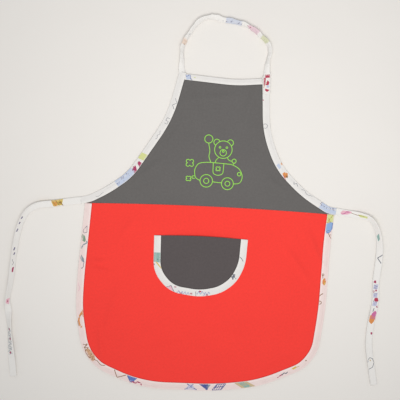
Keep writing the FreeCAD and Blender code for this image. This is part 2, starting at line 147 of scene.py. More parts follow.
def lift(x, y):
    """How far the cloth stands off the surface under it, in millimetres."""
    x, y = np.asarray(x, float), np.asarray(y, float)
    broad = 0.55 + 0.45 * soft_noise(x / 78 + 3, y / 66 + 9, 1)  # swells 7 cm wide
    fine = soft_noise(x / 26, y / 30, 2)  # and 3 cm wide
    height = BROAD_SWELL * broad + FINE_SWELL * fine
    for cx, cy, heading, half_length, half_width, tall in CREASES:
        a = math.radians(heading)
        along = (x - cx) * math.cos(a) + (y - cy) * math.sin(a)
        aside = (y - cy) * math.cos(a) - (x - cx) * math.sin(a)
        bow = aside + 0.05 * half_width * np.sin(along / half_length * 2)
        ridge = np.exp(-((along / half_length) ** 2) - (bow / half_width) ** 2)
        height = height + CREASE_RISE * tall * ridge
    return LEAST_LIFT + height * smooth(np.abs(y - SEAM_LEVEL), 4, 45)


def rounded(points, step=LINE_STEP):
    """Points a step apart along straight runs joined by smooth corners."""
    corners = [np.array(p, float) for p in points]
    dense = [corners[0][None]]
    for before, corner, after in zip(corners, corners[1:], corners[2:]):
        back, on = before - corner, after - corner
        reach = 0.45 * min(np.linalg.norm(back), np.linalg.norm(on))
        start = corner + back / np.linalg.norm(back) * reach
        end = corner + on / np.linalg.norm(on) * reach
        f = np.linspace(0, 1, 24)[:, None]
        dense.append((1 - f) ** 2 * start + 2 * f * (1 - f) * corner + f**2 * end)
    dense.append(corners[-1][None])
    return respaced(np.concatenate(dense), step)


def respaced(line, step):
    """The same line with its points an even step apart."""
    along = distance_along(line)
    wanted = np.linspace(0, along[-1], max(2, int(round(along[-1] / step)) + 1))
    return np.stack([np.interp(wanted, along, axis) for axis in line.T], -1)


def distance_along(line):
    """Each point's distance along the line from its start."""
    return np.r_[0, np.cumsum(np.linalg.norm(np.diff(line, axis=0), axis=1))]


def moved_right(line, offset):
    """A flat line moved to the right of its heading."""
    ahead = np.gradient(line, axis=0)
    ahead /= np.linalg.norm(ahead, axis=1)[:, None]
    return line + np.c_[ahead[:, 1], -ahead[:, 0]] * offset


def seam(left, right, shift=0.0, step=2.0):
    """Points along the waist seam from x = left to x = right, moved up by shift."""
    x = np.linspace(left, right, max(2, int(abs(right - left) / step)))
    drop = SEAM_RADIUS - np.sqrt(SEAM_RADIUS**2 - (x - SEAM_MIDDLE[0]) ** 2)
    return np.c_[x, SEAM_MIDDLE[1] - drop + shift]


# ---- camera


CAMERA_AT = (-0.0125, 0.0479, 1.3)  # metres
CAMERA_TURN = 2.67  # degrees
SENSOR_WIDTH, LENS = 36.0, 73.1


def make_camera():
    """Straight down onto the apron, turned a little against it."""
    camera = bpy.data.cameras.new("camera")
    camera.sensor_width, camera.lens = SENSOR_WIDTH, LENS
    item = bpy.data.objects.new("camera", camera)
    item.location = CAMERA_AT
    item.rotation_euler = (0, 0, math.radians(CAMERA_TURN))
    bpy.context.scene.collection.objects.link(item)
    bpy.context.scene.camera = item


make_camera()

# ---- materials


def linear(*srgb):
    """A colour given as 0 to 255 on screen, as the shader wants it."""
    parts = [c / 255 for c in srgb]
    parts = [c / 12.92 if c < 0.04045 else ((c + 0.055) / 1.055) ** 2.4 for c in parts]
    return (*parts, 1.0)


def darker(colour, share):
    """The colour with only this share of its light."""
    return tuple(c * share for c in colour[:3]) + (1.0,)


class Shader:
    """One material and the nodes that make its colour and its bumps."""

    def __init__(self, name, roughness=0.85, sheen=0.25, specular=0.25):
        self.material = bpy.data.materials.new(name)
        self.material.use_nodes = True
        self.tree = self.material.node_tree
        self.surface = self.tree.nodes["Principled BSDF"]
        self.surface.inputs["Roughness"].default_value = roughness
        self.surface.inputs["Sheen Weight"].default_value = sheen
        self.surface.inputs["Specular IOR Level"].default_value = specular

    def fill(self, socket, value):
        """Links another node's output to a socket, or sets the socket to a plain value."""
        if isinstance(value, bpy.types.NodeSocket):
            self.tree.links.new(value, socket)
        else:
            socket.default_value = value

    def node(self, kind, inputs=(), **settings):
        """A node with some of its settings and sockets filled in."""
        node = self.tree.nodes.new(kind)
        for key, value in settings.items():
            setattr(node, key, value)
        for key, value in dict(inputs).items():
            self.fill(node.inputs[key], value)
        return node

    def math(self, operation, a, b=0.0):
        return self.node("ShaderNodeMath", {0: a, 1: b}, operation=operation).outputs[0]

    def plus(self, a, b):
        return self.math("ADD", a, b)

    def times(self, a, b):
        return self.math("MULTIPLY", a, b)

    def mix(self, share, a, b):
        """A colour between a and b. A colour mix's sockets are 0, 6 and 7, and its output 2."""
        return self.node("ShaderNodeMix", {0: share, 6: a, 7: b}, data_type="RGBA").outputs[2]

    def uv(self, name="UVMap"):
        return self.node("ShaderNodeUVMap", uv_map=name).outputs[0]

    def split(self, vector):
        return self.node("ShaderNodeSeparateXYZ", {0: vector}).outputs

    def noise(self, vector, scale, detail, roughness=0.55):
        inputs = {"Vector": vector, "Scale": scale, "Detail": detail, "Roughness": roughness}
        return self.node("ShaderNodeTexNoise", inputs).outputs["Fac"]

    def stretched(self, vector, scale):
        inputs = {"Vector": vector, "Scale": scale}
        return self.node("ShaderNodeMapping", inputs, vector_type="POINT").outputs[0]

    def ramp(self, value, start, end, low, high):
        """A smooth change from low to high as the value goes from start to end."""
        inputs = {0: value, 1: start, 2: end, 3: low, 4: high}
        node = self.node("ShaderNodeMapRange", inputs, interpolation_type="SMOOTHSTEP")
        return node.outputs[0]

    def finish(self, colour, height, distance, strength):
        """The material, with this colour and with bumps of this height."""
        self.fill(self.surface.inputs["Base Color"], colour)
        inputs = {"Height": height, "Distance": distance, "Strength": strength}
        bump = self.node("ShaderNodeBump", inputs)
        self.fill(self.surface.inputs["Normal"], bump.outputs[0])
        return self.material


def woven(shader, pitch):
    """Coordinates in millimetres, the same split up, a plain weave's height, and its slubs."""
    place = shader.uv()
    split = shader.split(place)
    turns = 2 * math.pi / pitch
    warp = shader.math("SINE", shader.times(split[0], turns))
    weft = shader.math("SINE", shader.times(split[1], turns))
    checks = shader.times(warp, weft)
    slub_a = shader.noise(shader.stretched(place, (0.12, 2.4, 1)), 1.0, 2.0)
    slub_b = shader.noise(shader.stretched(place, (2.4, 0.12, 1)), 1.0, 2.0)
    slubs = shader.plus(slub_a, slub_b)
    height = shader.plus(shader.times(checks, 0.35), slubs)
    return place, split, height, slubs


def cloth(name, colour, pitch=0.55, mottle=1.0, bump=0.5, sheen=0.2, painted_shade=None):
    """Plain-weave cotton, with painted shade that darkens it in the dip beside a tape."""
    shader = Shader(name, sheen=sheen)
    place, _, height, slubs = woven(shader, pitch)
    clouds = shader.times(shader.noise(place, 0.018, 4.0), 0.5)  # patches 5 cm wide
    fibres = shader.times(shader.noise(place, 0.3, 3.0, 0.75), 1.8)  # and 3 mm wide
    threads = shader.times(slubs, 0.35)
    shade = shader.plus(shader.plus(clouds, fibres), threads)
    share = shader.times(shader.math("SUBTRACT", shade, 1.1), mottle)
    base = shader.mix(share, colour, darker(colour, 0.8))
    if painted_shade is not None:
        # painted shade: within about 2 mm of a tape's inner edge the cloth turns towards its shade
        # colour
        painted_shade_share = shader.ramp(shader.split(shader.uv("Gap"))[0], 0.2, 1.9, 0.7, 0.0)
        base = shader.mix(painted_shade_share, base, painted_shade)
    return shader.finish(base, height, 0.00012, bump)


def tape_cloth(name, colour, under=None, washes=()):
    """White tape. The cloth between its plies shows through, and washes are printed stretches,
    coloured with the ink darkened by painted shade.
    """
    shader = Shader(name, roughness=0.8, sheen=0.2)
    place, split, height, slubs = woven(shader, 0.5)
    base = colour
    if under is not None:  # from where the cloth's edge lies out to near the tape's fold
        inner = shader.ramp(split[1], 1.6, 3.4, 0.0, 1.0)
        outer = shader.ramp(split[1], 9.2, 10.8, 1.0, 0.3)
        patchy = shader.ramp(shader.noise(place, 0.09, 2.0), 0.3, 0.7, 0.7, 1.0)
        share = shader.times(shader.times(inner, outer), patchy)
        base = shader.mix(share, colour, under)
    for start, end, wash in washes:
        wander = shader.times(shader.noise(place, 0.35, 2.0), 7.0)
        along = shader.plus(split[0], wander)
        on = shader.ramp(along, start + 2.0, start + 4.5, 0.0, 0.85)
        off = shader.ramp(along, end + 2.0, end + 4.5, 1.0, 0.0)
        patchy = shader.ramp(shader.noise(place, 0.8, 2.0), 0.3, 0.7, 0.6, 1.0)
        share = shader.times(shader.times(on, off), patchy)
        base = shader.mix(share, base, wash)
    turns = 2 * math.pi / STITCH_PITCH
    # Between stitches the tape puffs up.
    puffs = shader.math("SINE", shader.times(split[0], turns))
    near_stitch = shader.ramp(split[1], 1.0, 3.2, 1.0, 0.0)
    height = shader.plus(height, shader.times(puffs, near_stitch))
    base = shader.mix(shader.times(slubs, 0.10), base, darker(colour, 0.8))
    return shader.finish(base, height, 0.00014, 0.5)


TWIST = 1.1  # length of one turn of a thread's plies


def thread(name, colour):
    """Twisted sewing thread."""
    shader = Shader(name, roughness=0.55, sheen=0.4, specular=0.4)
    split = shader.split(shader.uv())
    ply = shader.plus(split[0], split[1])
    plies = shader.math("SINE", shader.times(ply, 2 * math.pi / TWIST))
    share = shader.times(shader.plus(plies, 1.0), 0.16)
    return shader.finish(shader.mix(share, colour, darker(colour, 0.5)), plies, 0.0001, 0.5)


# The last colour of each cloth is painted shade for the dip beside a tape.
RED = cloth("red_cotton", linear(255, 64, 55), mottle=0.55, painted_shade=linear(196, 38, 34))
GREY = cloth("grey_cotton", linear(106, 103, 101), painted_shade=linear(70, 67, 66))
POCKET_GREY = cloth("pocket_cotton", linear(91, 84, 84), painted_shade=linear(58, 54, 54))
FLEECE = cloth("fleece", linear(238, 238, 235), pitch=1.3, bump=0.9)
WHITE = linear(240, 237, 233)
PLAIN_TAPE = tape_cloth("tape_plain", WHITE)
# This tape's pink is partly painted bounce light from the red cloth, and between its plies partly
# the cloth showing through.
TAPE_ON_RED = tape_cloth("tape_on_red", linear(250, 232, 228), linear(238, 217, 213))
TAPE_ON_GREY = tape_cloth("tape_on_grey", WHITE, linear(230, 227, 224))
WHITE_THREAD = thread("white_thread", linear(240, 238, 234))
DARK_THREAD = thread("dark_thread", linear(74, 70, 69))
LIME_THREAD = thread("lime_thread", linear(184, 246, 104))
GREEN_THREAD = thread("green_thread", linear(116, 208, 56))
INK_WASHES = {
    name: linear(*colour)
    for name, colour in {
        "magenta": (206, 112, 160), "pale_blue": (196, 206, 226), "lime": (214, 218, 150),
        "orange": (222, 146, 84), "red": (186, 68, 90), "teal": (146, 180, 172),
        "blue": (98, 124, 190), "brown": (142, 104, 70), "slate": (104, 108, 120),
        "pink": (236, 188, 200), "green": (132, 158, 134), "dots": (104, 96, 132),
        "peach": (236, 204, 178), "yellow": (218, 190, 96), "wine": (174, 62, 100),
        "lilac": (198, 198, 222), "tan": (206, 184, 146), "clay": (218, 172, 138),
        "navy": (82, 92, 152), "sky": (146, 176, 220), "steel": (144, 156, 164),
    }.items()
}
INKS = {name: tape_cloth("ink_" + name, colour) for name, colour in INK_WASHES.items()}

# ---- making pieces


def piece(name, made, materials, stands_for=(), body=None, bend=None, paint=None, gap=None):
    """A mesh in the part's frame that rides on a body, or, when bend is given, stays unparented
    with its transform baked.

    made is its points, its faces and each point's place on the cloth. paint is each face's
    material, and gap each point's distance from the tapes' inner edges.
    """
    points, faces, uv = made
    mesh = bpy.data.meshes.new(name)
    mesh.from_pydata((np.asarray(points, float) * MM).tolist(), [], faces)
    for material in materials:
        mesh.materials.append(material)
    loops = np.zeros(len(mesh.loops), np.int32)
    mesh.loops.foreach_get("vertex_index", loops)
    maps = {"UVMap": uv}
    if gap is not None:
        maps["Gap"] = np.c_[gap, 0 * gap]
    for key, values in maps.items():
        layer = mesh.uv_layers.new(name=key)
        layer.data.foreach_set("uv", np.asarray(values, np.float32)[loops].ravel())
    if paint is not None:
        mesh.polygons.foreach_set("material_index", np.asarray(paint, np.int32))
    solid = bmesh.new()
    solid.from_mesh(mesh)
    bmesh.ops.recalc_face_normals(solid, faces=solid.faces)
    solid.to_mesh(mesh)
    solid.free()
    mesh.shade_smooth()
    item = bpy.data.objects.new(name, mesh)
    bpy.context.scene.collection.objects.link(item)
    if bend:
        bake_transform(item)
    else:
        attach(item, body)
    if stands_for:
        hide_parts(*stands_for)
    return item


def inside(points, outline):
    """Which points lie inside a closed outline."""
    x, y = points.T
    within = np.zeros(len(points), bool)
    for (x1, y1), (x2, y2) in zip(outline, np.roll(outline, -1, axis=0)):
        if y1 != y2:
            crosses = (y1 > y) != (y2 > y)
            within ^= crosses & (x < (x2 - x1) * (y - y1) / (y2 - y1) + x1)
    return within


def nearest(points, line):
    """Each point's distance to the closest point of a line, and that point's number."""
    best, which = [], []
    for block in np.array_split(points, max(1, len(points) // 2000)):
        gaps = np.linalg.norm(block[:, None] - line[None], axis=2)
        which.append(gaps.argmin(1))
        best.append(gaps.min(1))
    return np.concatenate(best), np.concatenate(which)


def filled(outline, spacing, extra=(), clear=0.7):
    """Points and triangles that fill a closed outline, the outline's own points first."""
    low, high = outline.min(0), outline.max(0)
    rows = np.arange(low[1] + spacing * 0.4, high[1], spacing * 0.87)
    grid = [
        (x, y)
        for number, y in enumerate(rows)
        for x in np.arange(low[0] + spacing * (0.3 + 0.5 * (number % 2)), high[0], spacing)
    ]
    grid = np.array(grid).reshape(-1, 2)
    if len(grid):
        grid = grid[inside(grid, outline)]
    if len(grid):
        edges = np.concatenate([outline, *extra]) if len(extra) else outline
        grid = grid[nearest(grid, edges)[0] > spacing * clear]
    points = np.concatenate([outline, *extra, grid])
    count = len(outline)
    rim = [(i, (i + 1) % count) for i in range(count)]
    made = delaunay_2d_cdt([Vector(p) for p in points], rim, [], 1, 1e-6)
    return np.array([tuple(v) for v in made[0]]), [tuple(f) for f in made[2]]


def two_sided(flat, faces, top, bottom):
    """A sheet with thickness: the upper and lower faces and the rim between them."""
    count = len(flat)
    points = np.concatenate([np.c_[flat, top], np.c_[flat, bottom]])
    seen = {}
    for face in faces:
        for a, b in zip(face, face[1:] + face[:1]):
            seen[frozenset((a, b))] = None if frozenset((a, b)) in seen else (a, b)
    under = [tuple(i + count for i in reversed(face)) for face in faces]
    rim = [(b, a, a + count, b + count) for a, b in filter(None, seen.values())]
    return points, [*faces, *under, *rim], np.concatenate([flat, flat])


SLANT_REACH = 14  # how far from a slanted end its points are moved
STITCH_ABOVE = 0.1  # a stitch's middle above the tape's face


class Tape:
    """A strip along a line: s runs along it, t across it to the right, h out of its face.

    tilt turns it about its line, in degrees, follow is how much it rises with the cloth under
    it, slant cuts its far end at an angle, and relief is the height of the swells of its face.
    """

    def __init__(self, line, tilt=None, follow=None):
        if line.shape[1] == 2:
            line = np.c_[line, np.zeros(len(line))]
        ahead = np.gradient(line, axis=0)
        ahead /= np.linalg.norm(ahead, axis=1)[:, None]
        level = ahead * (1, 1, 0)
        level /= np.linalg.norm(level, axis=1)[:, None]
        right = np.c_[level[:, 1], -level[:, 0], np.zeros(len(line))]
        lean = np.radians(np.zeros(len(line)) if tilt is None else tilt)[:, None]
        self.line = line
        self.across = right * np.cos(lean) + np.array([0, 0, 1.0]) * np.sin(lean)
        self.out = np.cross(self.across, ahead)
        self.s = distance_along(line)
        self.length = self.s[-1]
        self.follow = np.ones(len(line)) if follow is None else follow
        self.top = self.bottom = None
        self.slant = 0.0
        self.relief = lambda s, t: 0.0 * s

    def place(self, s, t, h):
        """Points in the part's frame."""
        s, t, h = np.broadcast_arrays(*(np.asarray(v, float) for v in (s, t, h)))
        near_end = smooth(s, self.length - SLANT_REACH, self.length)
        s = s - self.slant * (t + TAPE_WIDTH / 2) * near_end

        def at(values):
            return np.stack([np.interp(s, self.s, axis) for axis in values.T], -1)

        p = at(self.line) + at(self.across) * t[..., None] + at(self.out) * h[..., None]
        p[..., 2] += lift(p[..., 0], p[..., 1]) * np.interp(s, self.s, self.follow)
        return p

    def on_face(self, s, t, above, front=True):
        """Points on the tape's front or back face."""
        side = np.array(self.top if front else self.bottom, float)
        h = np.interp(t, side[:, 0], side[:, 1])
        sign = 1 if front else -1
        return self.place(s, t, h + sign * (self.relief(s, t) + above))

    def find(self, x, y):
        """The s and t of a point of the plan."""
        gaps = np.linalg.norm(self.line[:, :2] - (x, y), axis=1)
        i = int(gaps.argmin())
        return float(self.s[i]), float((np.array([x, y]) - self.line[i, :2]) @ self.across[i, :2])


def tube_faces(rings, around):
    """The faces of a closed tube whose points are given ring by ring, with its two caps."""
    faces = []
    for a in range(0, (rings - 1) * around, around):
        for j in range(around):
            k = (j + 1) % around
            faces.append((a + j, a + k, a + around + k, a + around + j))
    last = (rings - 1) * around
    return faces + [tuple(range(around)), tuple(reversed(range(last, last + around)))]


def sweep(tape, profile, step=1.7):
    """The closed profile of (t, h) points carried along the tape."""
    profile = np.array(profile, float)
    stations = np.linspace(0, tape.length, int(tape.length / step) + 2)
    s = np.repeat(stations, len(profile))
    t, h = np.tile(profile, (len(stations), 1)).T
    middle = (profile[:, 1].min() + profile[:, 1].max()) / 2
    outside = np.abs(h - middle) > 0.35 * np.ptp(profile[:, 1])
    h = h + np.sign(h - middle) * tape.relief(s, t) * outside
    return tape.place(s, t, h), tube_faces(len(stations), len(profile)), np.c_[s, t]


def capsules(starts, ends, up, radius, flat=0.75, sides=7):
    """Short stitches of thread from starts to ends, arched away from the cloth."""
    starts, ends = np.asarray(starts, float), np.asarray(ends, float)
    up = np.broadcast_to(np.asarray(up, float), starts.shape)
    ahead = ends - starts
    length = np.linalg.norm(ahead, axis=1)[:, None]
    ahead = ahead / length
    side = np.cross(ahead, up)
    side /= np.linalg.norm(side, axis=1)[:, None]
    raised = np.cross(side, ahead)
    # Each ring of a stitch: how far along it, share of the radius, and rise off the cloth.
    rings = [(0.0, 0.3, -0.9), (0.08, 0.85, -0.25), (0.3, 1.0, 0.1), (0.7, 1.0, 0.1),
             (0.92, 0.85, -0.25), (1.0, 0.3, -0.9)]
    angles = np.arange(sides) * 2 * math.pi / sides
    points, uv = [], []
    for share, wide, arch in rings:
        centre = starts + ahead * length * share + raised * radius * arch
        for angle in angles:
            across, out = math.cos(angle) * wide * radius, math.sin(angle) * wide * radius * flat
            points.append(centre + side * across + raised * out)
            uv.append(np.c_[length * share, np.full(len(starts), angle * radius)])
    points, uv = np.stack(points, 1).reshape(-1, 3), np.stack(uv, 1).reshape(-1, 2)
    one, each = tube_faces(len(rings), sides), len(rings) * sides
    faces = [tuple(n * each + i for i in face) for n in range(len(starts)) for face in one]
    return points, faces, uv


def joined(parts):
    """Several (points, faces, uv) as one."""
    points, faces, uv, start = [], [], [], 0
    for more, quads, coordinates in parts:
        points.append(more)
        faces += [tuple(i + start for i in face) for face in quads]
        uv.append(coordinates)
        start += len(more)
    return np.concatenate(points), faces, np.concatenate(uv)


def running_stitch(tape, t, both=True, ends=1.5):
    """A line of stitches along a tape, on its front and, if both, on its back."""
    starts = np.arange(ends, tape.length - ends - STITCH_LENGTH, STITCH_PITCH)
    wander = 0.12 * soft_noise(starts / 9, starts * 0, 5)
    made = []
    for front in (True, False) if both else (True,):
        first = tape.on_face(starts, t + wander, STITCH_ABOVE, front)
        last = tape.on_face(starts + STITCH_LENGTH, t + wander, STITCH_ABOVE, front)
        way = np.stack([np.interp(starts, tape.s, axis) for axis in tape.out.T], -1)
        made.append(capsules(first, last, way if front else -way, STITCH_RADIUS))
    return joined(made)


# ---- prints on the tape


LINE_WEIGHT = 1.35  # ink spreads in the cloth
PRINT_ABOVE = 0.06
PRINT_EDGE, PRINT_END = 0.25, 0.5  # how near a mark comes to a tape's edges and ends
BACK_SHIFT = 19.0  # the back has the same marks, so much further along


class Prints:
    """Small printed marks that follow a tape's face, gathered into one piece."""

    def __init__(self, tape, low, high, back=True):
        self.tape, self.parts, self.inks = tape, [], []
        self.low, self.high = low + PRINT_EDGE, high - PRINT_EDGE
        self.sides = ((True, 0.0), (False, BACK_SHIFT)) if back else ((True, 0.0),)

    def add(self, ink, s, t, faces):
        """A mark's points, cut off at the tape's edges, on the front and again on the back."""
        t = np.clip(t, self.low, self.high)
        s = np.clip(s, PRINT_END, self.tape.length - PRINT_END)
        for front, shift in self.sides:
            along = np.clip(s + shift, PRINT_END, self.tape.length - PRINT_END)
            points = self.tape.on_face(along, t, PRINT_ABOVE, front)
            self.parts.append((points, faces, np.c_[along, t]))
            self.inks.append((ink, len(faces)))

    def patch(self, ink, x, y, outline):
        """A filled mark: outline holds distances along and across the tape from (x, y)."""
        s, t = self.tape.find(x, y)
        flat, faces = filled(respaced_loop(np.array(outline, float), 1.1), 1.2)
        self.add(ink, s + flat[:, 0], t + flat[:, 1], faces)

    def blob(self, ink, x, y, along, across, turn=0.0):
        """An uneven round mark."""
        a = np.linspace(0, 2 * math.pi, 15)[:-1]
        r = 1 + 0.12 * np.sin(3 * a + x) + 0.06 * np.sin(5 * a + y)
        u, v = along * r * np.cos(a), across * r * np.sin(a)
        c, d = math.cos(turn), math.sin(turn)
        self.patch(ink, x, y, np.c_[u * c - v * d, u * d + v * c])

    def stroke(self, ink, x, y, line, width=0.7):
        """A drawn line."""
        s, t = self.tape.find(x, y)
        width = LINE_WEIGHT * width
        middle = respaced(np.array(line, float), 0.8)
        left, right = moved_right(middle, -width / 2), moved_right(middle, width / 2)
        flat = np.stack([left, right], 1).reshape(-1, 2)
        faces = [(i, i + 1, i + 3, i + 2) for i in range(0, len(flat) - 2, 2)]
        self.add(ink, s + flat[:, 0], t + flat[:, 1], faces)

    def ring(self, ink, x, y, radius, width=0.6):
        """A drawn circle."""
        a = np.linspace(0, 2 * math.pi, 25)
        self.stroke(ink, x, y, np.c_[radius * np.cos(a), radius * np.sin(a)], width)

    def finish(self, name, body=None, bend=None):
        """All the marks as one piece."""
        names = sorted({ink for ink, _ in self.inks})
        paint = np.concatenate([np.full(count, names.index(ink)) for ink, count in self.inks])
        inks = [INKS[ink] for ink in names]
        piece(name, joined(self.parts), inks, (), body, bend, paint)


def respaced_loop(outline, step):
    """A closed outline with its points an even step apart."""
    return respaced(np.concatenate([outline, outline[:1]]), step)[:-1]


# ---- tapes on the edges


def edge_profile(width, low, slot, ply=0.6):
    """A tape folded over an edge: its closed profile, and its front and back faces.

    low is the height of its underside, and slot the gap for the cloth between its plies.
    """
    middle = low + slot / 2 + ply
    half = slot / 2 + ply
    face = [
        (-0.12, half - 0.3), (0.08, half - 0.04), (0.7, half + 0.03), (1.2, half - 0.1),
        (1.8, half + 0.05), (3.2, half + 0.1), (5.5, half + 0.06), (width - 3.6, half + 0.05),
        (width - 3.1, half - 0.26), (width - 2.6, half - 0.06), (width - 1.3, half - 0.1),
        (width - 0.5, half - 0.38), (width - 0.1, half * 0.4),
    ]
    lower = [(t, middle - h) for t, h in face]
    upper = [(t, middle + h) for t, h in face]
    mouth = half - ply
    loop = [(width - 0.9, middle), (6.0, middle - mouth), (0.05, middle - mouth)]
    loop += lower + [(width, middle)] + upper[::-1]
    loop += [(0.05, middle + mouth), (6.0, middle + mouth)]
    return loop, upper[1:-1], lower[1:-1]


def edge_relief(seed):
    """Small swells of the tape between its stitches and its outer fold."""

    def relief(s, t):
        swell = 0.2 * soft_noise(s / 7, t / 6, seed) + 0.16 * soft_noise(s / 23, t / 9, seed + 1)
        return swell * smooth(t, 0.4, 3.5) * (1 - smooth(t, 7.6, 10.4))

    return relief


def edge_tape(points, width, seed, low=0.0, slot=0.7):
    """The tape along an edge, with its profile."""
    tape = Tape(rounded(points))
    loop, tape.top, tape.bottom = edge_profile(width, low, slot)
    tape.relief = edge_relief(seed)
    return tape, loop


EDGE_STITCH_AT = 1.2  # distance of the stitching from a tape's inner edge
# Each tape's line, width, material, the bodies it bends between or rides on, and its CAD nodes.
EDGES = {
    "skirt_edge": (SKIRT_SIDE_AND_HEM, TAPE_WIDTH, TAPE_ON_RED, FOLD_BACK, None,
                   ("skirt_binding", "skirt_binding_stitching")),
    "left_armhole_tape": (LEFT_ARMHOLE, TAPE_WIDTH, TAPE_ON_GREY, FOLD_FORWARD, None,
                          ("left_armhole_binding", "left_armhole_stitching")),
    "right_armhole_tape": (RIGHT_ARMHOLE, TAPE_WIDTH, TAPE_ON_GREY, FOLD_FORWARD, None,
                           ("right_armhole_binding", "right_armhole_stitching")),
    "bib_top_tape": (BIB_TOP, TOP_TAPE_WIDTH, TAPE_ON_GREY, None, "bib",
                     ("bib_top_binding", "bib_top_stitching")),
}
tapes = {}
for number, (name, row) in enumerate(EDGES.items()):
    points, width, material, bend, body, nodes = row
    tape, loop = edge_tape(points, width, 20 + 2 * number)
    tapes[name] = tape
    piece(name, sweep(tape, loop), [material], nodes[:1], body, bend)
    piece(name + "_stitches", running_stitch(tape, EDGE_STITCH_AT), [WHITE_THREAD],
          nodes[1:], body, bend)

tapes["pocket_edge"], loop = edge_tape(POCKET_EDGE, TAPE_WIDTH, 40, 1.3, 1.1)
piece("pocket_edge", sweep(tapes["pocket_edge"], loop), [TAPE_ON_GREY],
      ["pocket_binding"], "skirt")
rows = [running_stitch(tapes["pocket_edge"], t, both=False) for t in (EDGE_STITCH_AT, 9.8)]
piece("pocket_edge_stitches", joined(rows), [WHITE_THREAD],
      ["pocket_stitching"], "skirt")

# ---- cloth panels


PUCKER_PITCH, PUCKER_RISE, PUCKER_REACH = 9.5, 0.3, 7.0
DIP_DEPTH, DIP_REACH = 0.3, 1.1


def cloth_heights(flat, edge_lines, middle, thick, rolled=None, roll=1.3, belly=None):
    """Upper and lower face of a panel, and how far it shows beyond the tapes' inner edges.

    It dips beside a tape and puckers a little way from it, and its free edge is rolled.
    """
    height = middle + lift(*flat.T)
    shown = np.full(len(flat), 99.0)
    for seed, line in enumerate(edge_lines):
        gap, number = nearest(flat, line)
        ahead = np.gradient(line, axis=0)[number]
        away = flat - line[number]
        visible = ahead[:, 0] * away[:, 1] - ahead[:, 1] * away[:, 0] > 0
        gap = np.where(visible, gap, 0.0)
        shown = np.minimum(shown, gap)
        along = number * LINE_STEP
        uneven = 2.6 * soft_noise(along / 30, gap * 0, 60 + seed)
        beat = np.sin(along * 2 * math.pi / PUCKER_PITCH + uneven)
        strong = PUCKER_RISE * (0.6 + 0.5 * soft_noise(along / 45, gap * 0 + 3, 66 + seed))
        pucker = beat * strong * np.exp(-gap / PUCKER_REACH) * smooth(gap, 0.6, 3.0)
        height = height + pucker - DIP_DEPTH * np.exp(-((gap / DIP_REACH) ** 2))
    if belly is not None:
        height = height + belly(*flat.T)
    half = np.full(len(flat), thick / 2)
    if rolled is not None:
        gap = np.minimum(nearest(flat, rolled)[0] / roll, 1.0)
        half = half * np.sqrt(np.clip(1 - (1 - gap) ** 2, 0.02, 1))
    return height + half, height - half, np.tile(shown, 2)


def beside(line, *offsets):
    """Lines of points at small distances to the right of a line, for a fine rim."""
    return [moved_right(line, offset)[1:-1] for offset in offsets]


def beside_tape(edge, outline):
    """Rows of points where the cloth dips beside a tape, kept inside the cloth."""
    rows = beside(respaced(edge, 3.0), 0.5, -0.5, -1.4, -2.6)
    rows = [row[inside(row, outline)] for row in rows]
    return [row[nearest(row, outline)[0] > 1.2] for row in rows]


def whole_outline(*runs):
    """Runs of points joined into one outline, without points that fall together."""
    line = np.concatenate(runs)
    gaps = np.linalg.norm(line - np.roll(line, 1, axis=0), axis=1)
    return line[gaps > 0.3]


def skirt_cloth():
    """The red panel, up to the waist seam, hidden under its tape at the sides and hem."""
    edge = rounded(SKIRT_SIDE_AND_HEM)
    hidden = respaced(moved_right(edge, CLOTH_REACH), 3.0)
    hidden = hidden[(hidden[:, 1] < 33.5) | (np.abs(hidden[:, 0]) < 150)]
    top = seam(202.0, -195.0, -0.15)
    rim = beside(top, -0.3, -0.8, -1.6)
    rim = [line[np.abs(line[:, 0] - 2) < 186] for line in rim]
    outline = whole_outline(hidden, top)
    flat, faces = filled(outline, CLOTH_SPACING, rim + beside_tape(edge, outline))
    upper, lower, gap = cloth_heights(flat, [edge], CLOTH_MIDDLE, CLOTH_THICK, top)
    item = piece("skirt_cloth", two_sided(flat, faces, upper, lower), [RED],
                 ["skirt_panel"], bend=FOLD_BACK, gap=gap)


def bib_cloth():
    """The grey panel, from the waist seam to the bib's top."""
    left, right = rounded(LEFT_ARMHOLE), rounded(RIGHT_ARMHOLE)
    left_edge = respaced(moved_right(left, CLOTH_REACH), 3.0)
    right_edge = respaced(moved_right(right, CLOTH_REACH), 3.0)
    left_edge = left_edge[(left_edge[:, 1] < 246) & (left_edge[:, 0] > -197)]
    right_edge = right_edge[(right_edge[:, 1] < 245) & (right_edge[:, 0] < 202)]
    top = respaced(moved_right(rounded(BIB_TOP), TOP_TAPE_WIDTH - 0.7), 3.0)[2:-2]
    bottom = seam(-195.0, 201.0, 0.15)
    rim = beside(bottom, -0.3, -0.8, -1.6)
    rim = [line[np.abs(line[:, 0] - 3) < 172] for line in rim]
    outline = whole_outline(left_edge, bottom, right_edge, top)
    top_edge = rounded(BIB_TOP)
    for edge in (left, right, top_edge):
        rim += beside_tape(edge, outline)
    flat, faces = filled(outline, CLOTH_SPACING, rim)
    edges = [left, right, top_edge]
    upper, lower, gap = cloth_heights(flat, edges, CLOTH_MIDDLE, CLOTH_THICK, bottom)
    item = piece("bib_cloth", two_sided(flat, faces, upper, lower), [GREY],
                 ["bib_panel"], bend=FOLD_FORWARD, gap=gap)


POCKET_MIDDLE, POCKET_THICK = 2.45, 0.9
POCKET_X, POCKET_HALF_WIDTH = -8, 62
MOUTH_BOW = 2.2  # how far the mouth's edge rises between its ends
GAPE, LIP = 1.6, 0.5  # how far the pocket stands off the skirt, and its edge beyond that


